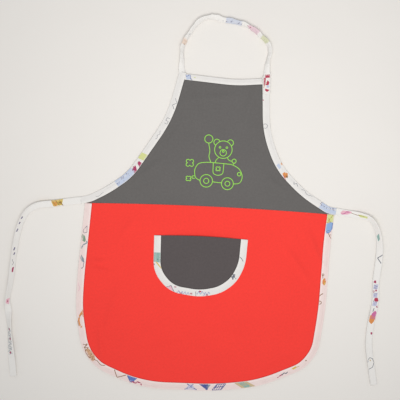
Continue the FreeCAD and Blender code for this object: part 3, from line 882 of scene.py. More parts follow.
def pocket_cloth():
    """The doubled pocket panel, gaping a little at its mouth."""
    edge = rounded(POCKET_EDGE)
    hidden = respaced(moved_right(edge, CLOTH_REACH), 2.5)
    middle = np.linspace(0, 1, 60)[:, None]
    ends = hidden[-1], hidden[0]
    mouth = ends[0] * (1 - middle) + ends[1] * middle
    mouth[:, 1] += MOUTH_BOW * np.sin(math.pi * middle[:, 0])
    rim = beside(mouth, -0.25, -0.7, -1.4)
    outline = whole_outline(hidden, mouth)
    flat, faces = filled(outline, 2.8, rim + beside_tape(edge, outline))

    def belly(x, y):
        across = np.clip(1 - ((x - POCKET_X) / POCKET_HALF_WIDTH) ** 2, 0, 1)
        return GAPE * across * smooth(y, -75, -12) + LIP * across * smooth(y, -20, -9)

    upper, lower, gap = cloth_heights(flat, [edge], POCKET_MIDDLE, POCKET_THICK, mouth, 0.9,
                                      belly)
    item = piece("pocket_cloth", two_sided(flat, faces, upper, lower), [POCKET_GREY],
                 ["pocket_panel"], body="skirt", gap=gap)


skirt_cloth()
bib_cloth()
pocket_cloth()


ALLOWANCE_MIDDLE = 2  # x of the strips' middle
RAW_EDGE, ALLOWANCE_STITCH = 10.6, 7.2  # the overlocking lies between these
OVERLOCK_PITCH = 3.0
OVERLOCK_SHARE = 0.905  # of the bib strip's length


def overlocked(tape):
    """The overlocking of a strip: a zigzag, its needle thread, and the thread at the rim."""
    s = np.linspace(8, tape.length - 8, 2 * int(tape.length / OVERLOCK_PITCH))
    t = np.where(np.arange(len(s)) % 2, RAW_EDGE, ALLOWANCE_STITCH)
    loops = tape.place(s, t, np.full(len(s), -0.02))
    zigzag = capsules(loops[:-1], loops[1:], (0, 0, -1), STITCH_RADIUS)
    chain = tape.place(s, np.full(len(s), ALLOWANCE_STITCH), np.full(len(s), -0.05))
    needle = capsules(chain[:-1:2], chain[1::2], (0, 0, -1), STITCH_RADIUS)
    rim = tape.place(s, np.full(len(s), RAW_EDGE - 0.05), np.full(len(s), 0.35))
    return joined([zigzag, needle, capsules(rim[:-1:2], rim[1::2], (0, 0, 1), 0.25)])


def waist_allowances():
    """The folded-under strips at the back of the seam, and their overlocked edges."""
    profile = [
        (0.25, 0.62), (0.16, 0.45), (0.18, 0.25), (0.4, 0.1), (3.0, 0.06), (9.8, 0.1),
        (10.2, 0.3), (9.9, 0.58), (5.0, 0.62), (1.0, 0.62),
    ]
    rows = {
        "skirt": (seam(-184.0, 190.0), RED, "red_cloth", FOLD_BACK),
        "bib": (seam(188.0, -184.0), GREY, "grey_cloth", FOLD_FORWARD),
    }
    for name, (line, material, slot, bend) in rows.items():
        tape = Tape(line)
        tape.relief = lambda s, t: 0.1 * soft_noise(s / 12, t / 8, 71)
        points, faces, uv = sweep(tape, profile, 2.2)
        if name == "bib":  # its ends slant with the armhole tapes
            slant = 1 - 0.048 * np.clip(uv[:, 1], 0, 11) / 5.4
            points[:, 0] = ALLOWANCE_MIDDLE + (points[:, 0] - ALLOWANCE_MIDDLE) * slant
        piece(name + "_allowance", (points, faces, uv), [material], bend=bend,
              gap=np.full(len(points), 9.0))
        made = overlocked(tape)
        if name == "bib":
            x = made[0][:, 0]
            made[0][:, 0] = ALLOWANCE_MIDDLE + (x - ALLOWANCE_MIDDLE) * OVERLOCK_SHARE
        piece(name + "_overlock", made, [WHITE_THREAD],
              [name + "_overlock_thread"], bend=bend)


waist_allowances()


def waist_thread():
    """The seam's stitches, down in the groove between the two panels."""
    line = respaced(seam(-184.0, 189.0, 0.0, 1.0), 1.2)
    line = np.c_[line, CLOTH_MIDDLE + 0.02 + lift(*line.T)]
    made = capsules(line[:-1:2], line[1::2], (0, 0, 1), 0.14)
    piece("waist_seam_stitches", made, [DARK_THREAD], ["waist_seam_thread"],
          "waist")


waist_thread()

# ---- embroidery

MOTIF_AT = np.array([9.0, 110.0])
HEAD, HEAD_RADIUS = np.array([12.0, 20.0]), 14.0
WHEELS = ((np.array([-13.0, -31.0]), 10.0), (np.array([21.0, -34.0]), 9.5))


def circle(middle, radius, start=0.0, turn=360.0):
    a = np.radians(np.linspace(start, start + turn, 40))
    return np.c_[middle[0] + radius * np.cos(a), middle[1] + radius * np.sin(a)]


def arc_through(a, peak, b):
    """Points along the circular arc from a through a peak opposite their middle to b."""
    chord, foot = b - a, (a + b) / 2
    rise = np.linalg.norm(peak - foot)
    radius = (np.linalg.norm(chord) ** 2 / 4 + rise**2) / (2 * rise)
    middle = peak + (foot - peak) / rise * radius
    first = math.atan2(*(a - middle)[::-1])
    turn = math.remainder(math.atan2(*(peak - middle)[::-1]) - first, 2 * math.pi) * 2
    angles = first + turn * np.linspace(0, 1, 16)
    return middle + radius * np.c_[np.cos(angles), np.sin(angles)]


def puff(x, y, half):
    """A puff of smoke, or a flower, with four round lobes that meet in notches."""
    middle, notch = np.array([x, y], float), half * 0.62
    corners = [middle + np.array(d) * notch for d in ((-1, 0), (0, 0.9), (1, 0), (0, -0.9))]
    arcs = []
    for a, b in zip(corners, corners[1:] + corners[:1]):
        arcs.append(arc_through(a, middle + (a + b - 2 * middle) * 1.4, b))
    return np.concatenate(arcs)


def ear(side):
    """The part of a round ear that shows beyond the head."""
    along = np.array([side * 0.69, 0.724])
    start = 90 - side * 43.6
    return circle(HEAD + along * 15.6, 4.9, start - 118, 236)


def motif_strokes():
    """A bear with a balloon in a toy car that puffs smoke."""
    strokes = [circle(HEAD, HEAD_RADIUS), circle(HEAD + (0, -5), 5.2), ear(-1), ear(1)]
    strokes += [circle(HEAD + (0, -2.8), 1.5), circle(HEAD + (-5.5, 3.5), 1.4)]
    strokes += [circle(HEAD + (5.5, 3.5), 1.4)]
    for hub, radius in WHEELS:
        strokes += [circle(hub, radius), circle(hub, radius * 0.42)]
    lines = [
        [(-23, -31), (-31, -27), (-33, -14), (-27, -3), (-12, -1), (28, -3), (40, -10),
         (45, -22), (41, -33), (30.5, -34)],
        [(-3, -32), (4, -32.8), (11.5, -33)],
        [(-3, -2), (-3, -19), (5, -22), (13, -19), (14, -2)],
        [(5, 7), (1, 3), (0, -1.5)],
        [(19, 7), (22, 3), (27, 2)],
        [(31, -0.5), (29.6, -1.7), (29, -3.2)],
        [(-12, 29.5), (-9, 17), (-11, 8), (-7, -1)],
        [(-32.5, -24), (-36, -24), (-36, -28), (-31.5, -28)],
    ]
    strokes += [rounded(points, 0.8) for points in lines]
    strokes += [circle((30, 2.5), 3.3), circle((-12, 36), 6.5), circle((39, -18), 2.8)]
    strokes += [puff(-40.5, -3.5, 6.0), puff(-41.5, -28.5, 4.0), puff(5, -11, 3.6)]
    return strokes


LOW_ROW_RADIUS, TOP_ROW_RADIUS, BOBBIN_RADIUS = 0.36, 0.5, 0.3


def embroidery():
    """Each stroke as triple stitch: two low rows, a bright row on top, and bobbin thread."""
    low_rows, top_row, back = [], [], []
    top = CLOTH_MIDDLE + CLOTH_THICK / 2
    for stroke in motif_strokes():
        stroke = stroke + MOTIF_AT
        line = respaced(stroke, np.clip(distance_along(stroke)[-1] / 13, 1.0, 1.9))
        level = top + lift(*line.T)
        for aside in (-0.4, 0.4):
            row = moved_right(line, aside) + dice.normal(0, 0.04, line.shape)
            at = np.c_[row, level + 0.1]
            ahead = np.diff(at, axis=0) * 0.12
            ends = at[:-1] - ahead, at[1:] + ahead
            low_rows.append(capsules(*ends, (0, 0, 1), LOW_ROW_RADIUS, 0.7))
        at = np.c_[line + dice.normal(0, 0.03, line.shape), level + 0.34]
        ahead = np.diff(at, axis=0) * 0.1
        ends = at[:-1] - ahead, at[1:] + ahead
        top_row.append(capsules(*ends, (0, 0, 1), TOP_ROW_RADIUS, 0.7))
        under = np.c_[line, 0.02 + lift(*line.T)]
        back.append(capsules(under[:-1], under[1:], (0, 0, -1), BOBBIN_RADIUS))
    piece("embroidery_low_rows", joined(low_rows), [GREEN_THREAD], body="bib")
    piece("embroidery", joined(top_row), [LIME_THREAD], ["embroidery_motif"],
          "bib")
    piece("embroidery_back", joined(back), [WHITE_THREAD], body="bib")


embroidery()


BACKING_RADIUS = 48.5


def backing():
    """The hand-trimmed round of fleece behind the embroidery."""
    a = np.linspace(0, 2 * math.pi, 121)[:-1]
    radius = BACKING_RADIUS + 0.9 * np.sin(5 * a) + 0.6 * np.sin(11 * a + 1)
    outline = MOTIF_AT + np.c_[np.cos(a), np.sin(a)] * radius[:, None]
    flat, faces = filled(outline, 3.5)
    rumple = 0.05 * soft_noise(flat[:, 0] / 5, flat[:, 1] / 5, 81)
    middle = 0.35 + lift(*flat.T) + rumple
    made = two_sided(flat, faces, middle + 0.2, middle - 0.2)
    item = piece("fleece_backing", made, [FLEECE], ["embroidery_backing"], "bib")


backing()

# ---- ties


def cord_line(name, route):
    """The route as a NURBS curve, whose control points are the route's, read back as points."""
    curve = bpy.data.curves.new(name + "_route", "CURVE")
    curve.dimensions = "3D"
    spline = curve.splines.new("NURBS")
    spline.points.add(len(route) - 1)
    for point, (x, y) in zip(spline.points, route):
        point.co = (x * MM, y * MM, TIE_REST * MM, 1)
    spline.order_u = 3
    spline.use_endpoint_u = True
    spline.resolution_u = 16
    item = bpy.data.objects.new(name + "_route", curve)
    bpy.context.scene.collection.objects.link(item)
    mesh = bpy.data.meshes.new_from_object(item)
    line = np.array([v.co[:] for v in mesh.vertices])[:, :2] / MM
    bpy.data.meshes.remove(mesh)
    bpy.data.objects.remove(item)
    return respaced(line, 1.5)


def eased(share, pairs):
    """A value at each share of a route, from (share, value) pairs with softened corners."""
    shares, values = np.array(pairs, float).T
    value = np.interp(share, shares, values)
    return np.convolve(np.pad(value, 9, mode="edge"), np.ones(19) / 19, mode="valid")


def lying(line, tilts, waves, seed):
    """A tie lying on its route: (share, value) pairs give its tilt and how far it's raised."""
    share = distance_along(line) / distance_along(line)[-1]
    tilt = eased(share, tilts)
    tilt = tilt + 5 * soft_noise(share * 17, share * 0, seed) * smooth(share, 0.1, 0.2)
    lean = np.abs(np.radians(tilt))
    rest = 0.15 + np.sin(lean) * TAPE_WIDTH / 2 + np.cos(lean) * TIE_THICK / 2
    follow = 1 - smooth(distance_along(line), 2, 40)
    return Tape(np.c_[line, rest + eased(share, waves)], tilt, follow)


TIE_STITCH_AT = 3.9  # distance of the stitching from a tie's middle


def tie_profile():
    """Folded tape: a round fold on one side, two loose plies on the other."""
    w, h = TAPE_WIDTH / 2, TIE_THICK / 2
    face = [(-w + 0.25, h - 0.3), (-w + 1.0, h + 0.08), (-w + 2.6, h - 0.04), (0.3, h - 0.12),
            (w - 3, h), (w - 1.6, h - 0.1), (w - 0.9, h + 0.1), (w - 0.1, h - 0.05), (w, h - 0.4)]
    lower = [(t, -v) for t, v in face]
    loop = [(-w, 0)] + lower + [(w - 0.05, -0.12), (w - 0.8, 0), (w - 0.05, 0.12)] + face[::-1]
    return loop, face, lower


def tie(name, route, tilts, waves, slant, seed, bend):
    """One waist tie from the corner of the apron to its bare end, cut off at a slant."""
    line = cord_line(name, route)
    tape = lying(line, tilts, waves, seed)
    tape.slant = slant
    loop, tape.top, tape.bottom = tie_profile()
    tape.relief = lambda s, t: 0.12 * soft_noise(s / 9, t / 5, seed) * (1 - smooth(np.abs(t), 3, 5))
    item = piece(name + "_tape", sweep(tape, loop), [PLAIN_TAPE], [name],
                 bend=bend)
    stitches = piece(name + "_stitches", running_stitch(tape, TIE_STITCH_AT), [WHITE_THREAD],
                     [name + "_stitching"], bend=bend)
    middle = tape.place(tape.s, 0 * tape.s, 0 * tape.s) * MM
    return tape


tapes["left_tie"] = tie(
    "left_tie", LEFT_TIE,
    [(0, 0), (0.08, 0), (0.15, 10), (0.22, 32), (0.3, 46), (0.46, 50), (0.54, 52),
     (0.59, 60), (0.67, 62), (0.7, 16), (0.72, -30), (0.77, -56), (0.82, -42), (0.88, -20),
     (0.94, -12), (1, -6)],
    [(0, 0), (0.15, 0.6), (0.3, 0.9), (0.45, 0.7), (0.56, 0.6), (0.66, 0.6), (0.85, 0.2), (1, 0)],
    0.14, 90, LEFT_CORNER,
)
tapes["right_tie"] = tie(
    "right_tie", RIGHT_TIE,
    [(0, 0), (0.06, 0), (0.12, -24), (0.17, -56), (0.24, -60), (0.3, -40), (0.37, -24),
     (0.44, -6), (0.5, 8), (0.56, 4), (0.62, 4), (0.7, 8), (0.85, 9), (1, 5)],
    [(0, 0), (0.15, 0.6), (0.3, 1.4), (0.5, 1.0), (0.7, 0.4), (0.85, 0.8), (1, 0.3)],
    0.1, 95, RIGHT_CORNER,
)

# ---- neck strap


SEWN_START, SEWN_END = 0.95, 3.0  # heights of the strap's middle at its two sewn ends
# Its tilt in degrees, at shares of its length.
STRAP_TILTS = [
    (0, 0), (0.03, -4), (0.08, -56), (0.2, -60), (0.3, -46), (0.4, -52), (0.5, -44),
    (0.62, -58), (0.72, -64), (0.84, -64), (0.92, -64), (0.95, -46), (0.985, 0), (1, 0),
]
# Its printed stretches: where each starts and ends along it, and the colour, which is the ink
# darkened by painted shade of the strap's face.
STRAP_WASHES_AND_SHADE = [
    (46, 55, linear(230, 198, 174)), (136, 161, linear(184, 194, 218)),
    (173, 192, linear(224, 178, 196)), (200, 213, linear(202, 206, 148)),
]


def strap_tape():
    """The strap's line, flat at its two sewn ends and partly on edge between them."""
    line = respaced(cord_line("neck_strap", NECK_STRAP), 1.2)
    share = distance_along(line) / distance_along(line)[-1]
    free = smooth(share, 0.07, 0.14) * (1 - smooth(share, 0.88, 0.95))
    tilt = eased(share, STRAP_TILTS) + 12 * soft_noise(share * 26, share * 0, 44) * free
    lean = np.abs(np.radians(tilt))
    rest = 0.2 + np.sin(lean) * STRAP_HALF_WIDTH + np.cos(lean) * 1.3
    into = smooth(share, 0.02, 0.08)
    out = smooth(share, 0.93, 0.975)
    height = SEWN_START * (1 - into) + rest * into
    height = height * (1 - out) + SEWN_END * out
    ends = (1 - smooth(share, 0.0, 0.12)) + smooth(share, 0.88, 1.0)
    strap = Tape(np.c_[line, height], tilt, np.clip(ends, 0, 1))
    strap.top = [(-5, 0.0), (-4, 0.95), (-2, 1.45), (0, 1.6), (2, 1.45), (4, 0.95), (5, 0.0)]
    strap.bottom = [(t, -h) for t, h in strap.top]
    return strap


def gathered(strap):
    """The strap's closed casing, gathered on its elastic."""
    angle = np.linspace(0, 2 * math.pi, 29)[:-1]
    stations = np.linspace(0, strap.length, int(strap.length / 0.9))
    s, a = np.meshgrid(stations, angle, indexing="ij")
    near_end = smooth(s, 1, 18) * (1 - smooth(s, strap.length - 18, strap.length - 1))
    gather = soft_noise(s / 3.1, np.cos(a) * 1.4 + 5, 51) * 0.6
    gather = gather + 0.4 * soft_noise(s / 1.6, np.sin(a) * 2 + 9, 52)
    wide = STRAP_HALF_WIDTH + 0.35 * soft_noise(s / 8, s * 0, 53) * near_end
    thick = 0.85 + 0.65 * near_end
    sway = 0.9 * soft_noise(s / 11, s * 0 + 3, 54) + 0.4 * soft_noise(s / 4.5, s * 0 + 7, 55)
    t = wide * np.cos(a) + near_end * sway
    h = thick * np.sin(a) * (1 + 0.4 * near_end * gather) + 0.35 * near_end * gather
    points = strap.place(s.ravel(), t.ravel(), h.ravel())
    return points, tube_faces(len(stations), len(angle)), np.c_[s.ravel(), (5 + t).ravel()]


def neck_strap():
    """The gathered strap, from one sewn end to the other."""
    strap = strap_tape()
    material = tape_cloth("tape_of_strap", WHITE, washes=STRAP_WASHES_AND_SHADE)
    item = piece("neck_strap_casing", gathered(strap), [material],
                 ["neck_strap", "neck_elastic"], bend=STRAP_ENDS)
    middle = strap.place(strap.s, 0 * strap.s, 0 * strap.s) * MM
    return strap


tapes["strap"] = neck_strap()

# ---- the strap's sewn ends


def right_strap_end():
    """The strap's flat end, sewn on top of the right armhole tape."""
    line = respaced(np.array([(85.8, 221.8), (85.5, 240.0), (85.2, 256.5)]), 1.5)
    tab = Tape(line)
    w = TAPE_WIDTH / 2
    tab.top = [(-w, 3.0), (-w + 0.5, 3.25), (-2, 3.35), (0, 3.38), (2, 3.35),
               (w - 0.5, 3.25), (w, 3.0)]
    tab.bottom = [(-w, 2.3), (w, 2.3)]
    tab.relief = lambda s, t: 0.1 * soft_noise(s / 6, t / 5, 61)
    loop = [(-w + 0.2, 2.2), (w - 0.2, 2.2), (w, 2.6)] + tab.top[::-1] + [(-w, 2.6)]
    piece("right_strap_end", sweep(tab, loop, 1.2), [PLAIN_TAPE],
          ["right_strap_tab"], "bib")
    sides = [running_stitch(tab, t, both=False, ends=1.6) for t in (-4.0, 4.0)]
    s = np.array([1.6, 1.6, 29.5, 29.5])
    t = np.array([-3.8, 0.2, -3.8, 0.2])
    start, end = tab.on_face(s, t, STITCH_ABOVE), tab.on_face(s, t + 3.6, STITCH_ABOVE)
    rows = joined([*sides, capsules(start, end, (0, 0, 1), STITCH_RADIUS)])
    piece("strap_end_stitches", rows, [WHITE_THREAD], ["strap_tab_stitching"],
          "bib")
    return tab


def left_strap_end():
    """The strap's other end, inside the left armhole tape."""
    flat, faces = filled(np.array([(-53, 249.6), (-46.4, 248.8), (-46, 251), (-50, 254.6),
                                   (-57.6, 254.6), (-53.4, 252.6)]), 2.0)
    level = CLOTH_MIDDLE + lift(*flat.T)
    made = two_sided(flat, faces, level + 0.25, level - 0.25)
    piece("left_strap_end", made, [PLAIN_TAPE], ["left_strap_tab"], "bib")


tapes["tab"] = right_strap_end()
left_strap_end()

# ---- printed marks

FLAG = [(-5, -4), (5, -2.4), (3, 4), (-3.4, 4.2)]
LEAF = [(-6, 0.5), (-2.5, -2.8), (3, -2.4), (6.5, 0.8), (2, 3.0), (-2.6, 2.6)]
SQUARES = [(-5, -2.5), (-5, 2.2), (0, 2.6), (0.4, -2.2), (5, -1.8), (5, 2.6)]


def wave(length, height, turns):
    """A wavy line along the tape."""
    f = np.linspace(0, 1, int(8 * turns) + 2)
    return np.c_[(f - 0.5) * length, height / 2 * np.sin(2 * math.pi * turns * f + 0.6)]


def left_armhole_prints():
    art = Prints(tapes["left_armhole_tape"], 0, TAPE_WIDTH)
    art.stroke("slate", -60, 199, [(-9, 2), (-2, -3), (3, 3), (9, -2)], 0.45)
    art.stroke("slate", -71, 171, SQUARES, 0.45)
    art.stroke("slate", -84, 148, wave(16, 2, 2), 0.35)
    art.patch("lime", -106, 113, [(-6, -6), (5, -6), (7, 6), (-4, 6)])
    art.patch("wine", -113, 98, [(-6, -2), (0, -5), (2, -3), (-2, 4), (-6, 4)])
    art.patch("wine", -118, 93, [(-5, 3), (0, -4), (6, -5), (5, 2), (-1, 5)])
    for x, y in ((-125, 87), (-133, 79), (-141, 71)):
        art.patch("pale_blue", x, y, [(-6.4, -7), (6.4, -7), (6.4, 7), (-6.4, 7)])
    for x, y in ((-121, 92), (-130, 85), (-137, 78), (-144, 68)):
        art.stroke("dots", x, y, wave(6, 3, 1.5), 0.5)
    for x, y in ((-127, 82), (-135, 73), (-140, 75), (-147, 71)):
        art.blob("dots", x, y, 0.7, 0.7)
    art.stroke("slate", -172, 49, wave(14, 2, 1), 0.3)
    art.finish("left_armhole_prints", bend=FOLD_FORWARD)


def right_armhole_prints():
    art = Prints(tapes["right_armhole_tape"], 0, TAPE_WIDTH)
    art.patch("wine", 81, 212, [(-2, -2), (2.4, -1), (0, 1.4)])
    art.ring("slate", 86, 171, 3.6, 0.45)
    art.patch("pale_blue", 112, 108, [(-4, -3), (4, -4), (5, 1), (-3, 1)])
    art.blob("orange", 115, 112, 2.4, 1.6)
    art.patch("orange", 122, 95, [(-4, -4), (2, -3), (5, -4), (5, 1), (0, 4), (-3, 2)])
    art.patch("brown", 125, 92, [(-3, -2), (1, -2.6), (3.4, 0), (2, 2.4), (-1, 1)])
    art.stroke("red", 121, 91, [(-5, -2), (4, 0)], 1.0)
    art.stroke("slate", 139, 80, [(-5, 0), (0, 2.4), (2, -2), (5, 1)], 0.5)
    art.stroke("slate", 158, 66, wave(22, 2.5, 1.5), 0.35)
    for x, y in ((186, 48), (193, 44.5), (199.5, 42)):
        art.patch("pale_blue", x, y, [(-6, -8), (6, -8), (5.6, 8), (-6, 8)])
    for x, y in ((182, 51), (186.5, 48.5), (191, 46.5), (196, 44.5), (201, 43)):
        art.stroke("dots", x, y, wave(5, 6, 1.5), 0.5)
    art.finish("right_armhole_prints", bend=FOLD_FORWARD)


def skirt_prints():
    art = Prints(tapes["skirt_edge"], 0, TAPE_WIDTH)
    # left side, from the waist down
    house = [(-5.4, -2.5), (2, 2.9), (6.6, 2.1), (5.1, -3.5), (-5.4, -2.5)]
    art.stroke("slate", -193.6, -7.0, house, 0.5)
    leaf = [(-6.5, 2.8), (-2, 3.8), (4, 2.4), (6.5, -2.5), (3, -3.6), (-3, -1.5)]
    art.patch("green", -195.1, -20.7, leaf)
    art.stroke("steel", -193.8, -31, [(-5.4, -2.9), (-2.4, -4.4), (1.6, 1.8), (7.7, 4.4)], 1.4)
    kite = [(-6.4, 2.6), (-0.4, -1.9), (6.2, -3.6), (3.6, 0.6), (-1.4, 3.8)]
    art.patch("steel", -195.6, -55.1, kite)
    art.stroke("slate", -195.6, -55.1, [(-6.4, 2.6), (-0.4, -1.9), (6.4, -3.6)], 0.4)
    art.stroke("slate", -195, -66, [(-5, -1.2), (1, -1.6), (4, 0.6), (3, 1.8)], 0.6)
    art.stroke("pink", -199, -100, wave(14, 3, 1), 0.6)
    art.stroke("orange", -194, -150, [(-11, -3.4), (-4, 1.4), (2, 3.4), (9, 3.0), (14, 0.6)], 1.8)
    art.patch("orange", -191, -139, [(-5, -3), (5, -4), (3, 0), (-2, 1.6)])
    art.patch("orange", -191, -143, [(-4, -1.6), (5, -1.8), (4, 0.4), (-2, 1.4)])
    art.stroke("brown", -194, -151, [(-9, -3.2), (-3, 2.4), (3, 5.2), (10, 4.2)], 0.5)
    ball = [(-11, -1), (-5, -4.4), (6, -4.6), (11, -1), (10, 4), (2, 5), (-7, 4.4)]
    art.patch("clay", -176, -207, ball)
    art.stroke("brown", -178, -204, [(-14, -3), (-10, 2), (-3, 4.6), (6, 4.4), (10, 0)], 0.6)
    art.stroke("brown", -183, -196, wave(14, 7, 3), 0.55)
    art.stroke("brown", -175, -209, wave(12, 6, 2.5), 0.6)
    art.stroke("brown", -165, -217, [(-8, 2), (0, -1), (8, 0.6), (14, -2.6)], 0.7)
    # hem, from left to right
    art.stroke("brown", -129.2, -237, [(-10, -4.8), (-1, 4.6), (11, -4.6)], 0.85)
    art.patch("blue", -109, -243.6, [(-8.5, -4.8), (8.5, -4.8), (4.5, 0.6), (0.6, 3.6), (-4, 1)])
    art.stroke("navy", -109, -243.6, [(-8, -4), (-2, 2.6), (1, 3.8), (5, 0.6)], 0.7)
    art.stroke("wine", -103, -245, [(-8, 4.4), (-3, 2.6), (1, 3.6), (4, 0.6), (9, 1.6), (11, 4.6)],
               1.4)
    art.patch("lilac", -13.7, -250.8, [(-9, 4.8), (-2, -4.2), (2, -4.2), (9, 4.8)])
    art.stroke("navy", -13.7, -250.8, [(-10, 4.4), (0, 0), (4, -4.6)], 0.9)
    art.stroke("navy", -13.7, -250.8, [(-6, -4.6), (2, 0.6), (10, 4.4)], 1.1)
    art.patch("navy", 8, -250.4, [(-8, -4.8), (7, -4.8), (6, 4.4), (4, 4.4), (-1, 0)])
    art.patch("steel", 14, -250.4, [(-1, -4.6), (5, -4.6), (-2, 4.4), (-3.4, 4.4)])
    ladder = [(-11, 4.4), (-3, -4.4), (11, -4.6), (3, 4.4), (-11, 4.4)]
    art.stroke("navy", 31.5, -249.1, ladder, 0.9)
    art.stroke("navy", 30, -249.1, [(-7, 0.6), (8, -0.6)], 0.7)
    for shift in (-5, -1.5, 2, 5.5):
        art.stroke("navy", 31 + shift, -249, [(-2.6, 3.8), (2.8, -4.2)], 0.7)
    art.patch("tan", 71.6, -243.8, [(-16, -5), (5, -5), (17, 4.8), (-4, 4.8)])
    art.patch("teal", 72, -243.8, [(-10, -5), (1, -5), (12, 4.8), (0, 4.8)])
    art.stroke("wine", 128, -226, [(-5, 2), (0, 0.6), (4, -0.4)], 1.0)
    art.stroke("slate", 135, -222.5, wave(11, 1.8, 1.5), 1.0)
    art.patch("yellow", 151, -213, [(-4, -1), (3, -2), (4, 0.6), (-2, 1.6)])
    art.stroke("tan", 155, -211, [(-3, -1), (3, 1)], 0.8)
    art.blob("brown", 168, -201, 1.2, 1.0)
    # right side, from the bottom up
    art.ring("brown", 186, -107, 2.6, 0.8)
    art.patch("orange", 185.6, -106, [(-4, -1.6), (3, -2.4), (1, 1)])
    art.stroke("brown", 187.4, -94.6, [(-4, -3.4), (0, 0), (2, 3.4)], 0.9)
    art.patch("orange", 191.6, -74, LEAF)
    art.patch("yellow", 193, -77, [(-3, -1.6), (3, -1), (1, 2)])
    art.stroke("brown", 190, -66, [(-3, -0.5), (3, -1.4)], 0.6)
    art.ring("brown", 189.3, -61.5, 1.5, 0.7)
    art.stroke("brown", 196.4, 1, [(-5, 3.4), (1, -1), (5, -3)], 0.7)
    art.stroke("brown", 196, -1, [(-1, 0.6), (3.4, 1.6)], 0.6)
    bird = [(-10, -3.5), (-5, -5), (4, -5), (9, -2), (8, 4.6), (-2, 5), (-8, 1.5)]
    art.patch("sky", 195.7, 14.3, bird)
    art.stroke("blue", 195.7, 14.3, [(-10, -3), (-8, 1.5), (-2, 4.6), (8, 4.6)], 0.9)
    art.stroke("slate", 195.4, 9, [(-3, -4.6), (0, 0), (-2, 4)], 0.5)
    art.patch("lime", 197, 29, [(-7, -5), (7, -5), (7, 5), (-6, 5)])
    art.patch("yellow", 195, 26, [(-5, -4), (5, -4), (0, 1), (-5, 2)])
    art.stroke("brown", 197, 28, [(-7, -4.6), (7, 4.4)], 0.8)
    art.stroke("brown", 196, 26, [(-5, 3), (5, -4.4)], 0.6)
    art.finish("skirt_prints", bend=FOLD_BACK)


def pocket_prints():
    art = Prints(tapes["pocket_edge"], 0, TAPE_WIDTH, back=False)
    art.patch("teal", -77, -47, [(-8, -7), (8, -7), (6, 7), (-8, 7)])
    art.blob("slate", -75.4, -50.5, 1.3, 1.3)
    art.blob("slate", -81, -58, 1.4, 1.1)
    art.stroke("yellow", -73, -60, [(-7, 4), (0, -0.6), (7, -4.6)], 1.3)
    art.patch("pink", -53, -95, [(-7, 4), (-2, -4), (7, 3.4)])
    art.stroke("slate", -53, -95, [(-7, 4), (-2, -4.6), (7, 3.6)], 0.6)
    art.stroke("wine", -46, -96, [(-2, -3), (1, -4)], 1.0)
    for x, y in ((-37, -101), (-27, -102), (-5, -100), (5, -101)):
        art.stroke("blue", x, y, wave(10, 5, 2), 0.5)
    for x, y in ((-35.7, -102.3), (-20, -101.8), (-5.2, -98), (5.3, -103)):
        art.blob("red", x, y, 1.9, 1.4)
    art.stroke("slate", -12, -102, [(0, -4), (0.6, 4)], 0.6)
    art.stroke("slate", 46.4, -71, wave(7, 5, 2), 1.3)
    art.blob("slate", 50, -75, 1.0, 0.8)
    art.stroke("slate", 57, -43, [(-4, 4.6), (-1, 2), (1.6, -1), (2, -4.6)], 0.7)
    art.finish("pocket_prints", body="skirt")


def top_prints():
    art = Prints(tapes["bib_top_tape"], 0, TOP_TAPE_WIDTH)
    art.stroke("navy", -42, 245, wave(7, 3, 1.5), 0.9)
    art.patch("pale_blue", -39, 243, [(-4, -3), (3, -4.6), (5, 3), (-2, 4.4)])
    art.stroke("navy", -37, 242, [(-3, -4), (0, -1), (1, 4)], 1.0)
    art.blob("lime", -30, 243, 1.6, 1.0)
    art.finish("bib_top_prints", body="bib")
    art = Prints(tapes["tab"], -TAPE_WIDTH / 2, TAPE_WIDTH / 2, back=False)
    art.patch("red", 86, 250.6, [(-3.2, -3.6), (2.4, -4), (3.4, 3.6), (-2.4, 4)])
    art.patch("red", 81.4, 242, [(-6, -2), (6, -2), (6, 2), (-6, 1.6)])
    art.patch("red", 86.4, 240, [(-4, -3), (0, -1.4), (4, 0), (0.6, 3), (-4, 1.6)])
    art.blob("orange", 85.6, 240, 1.5, 1.2)
    art.patch("orange", 80.8, 234, [(-3.4, -2), (4, -2), (3, 1.6), (-2, 1)])
    art.patch("pale_blue", 87, 233.6, [(-2, -2), (2, -1.6), (1.4, 2.4), (-2, 2)])
    art.patch("red", 86.4, 228, [(-3, 0), (-0.6, -3.4), (2.4, -3.2), (0.6, 3.8)])
    art.finish("strap_end_prints", body="bib")


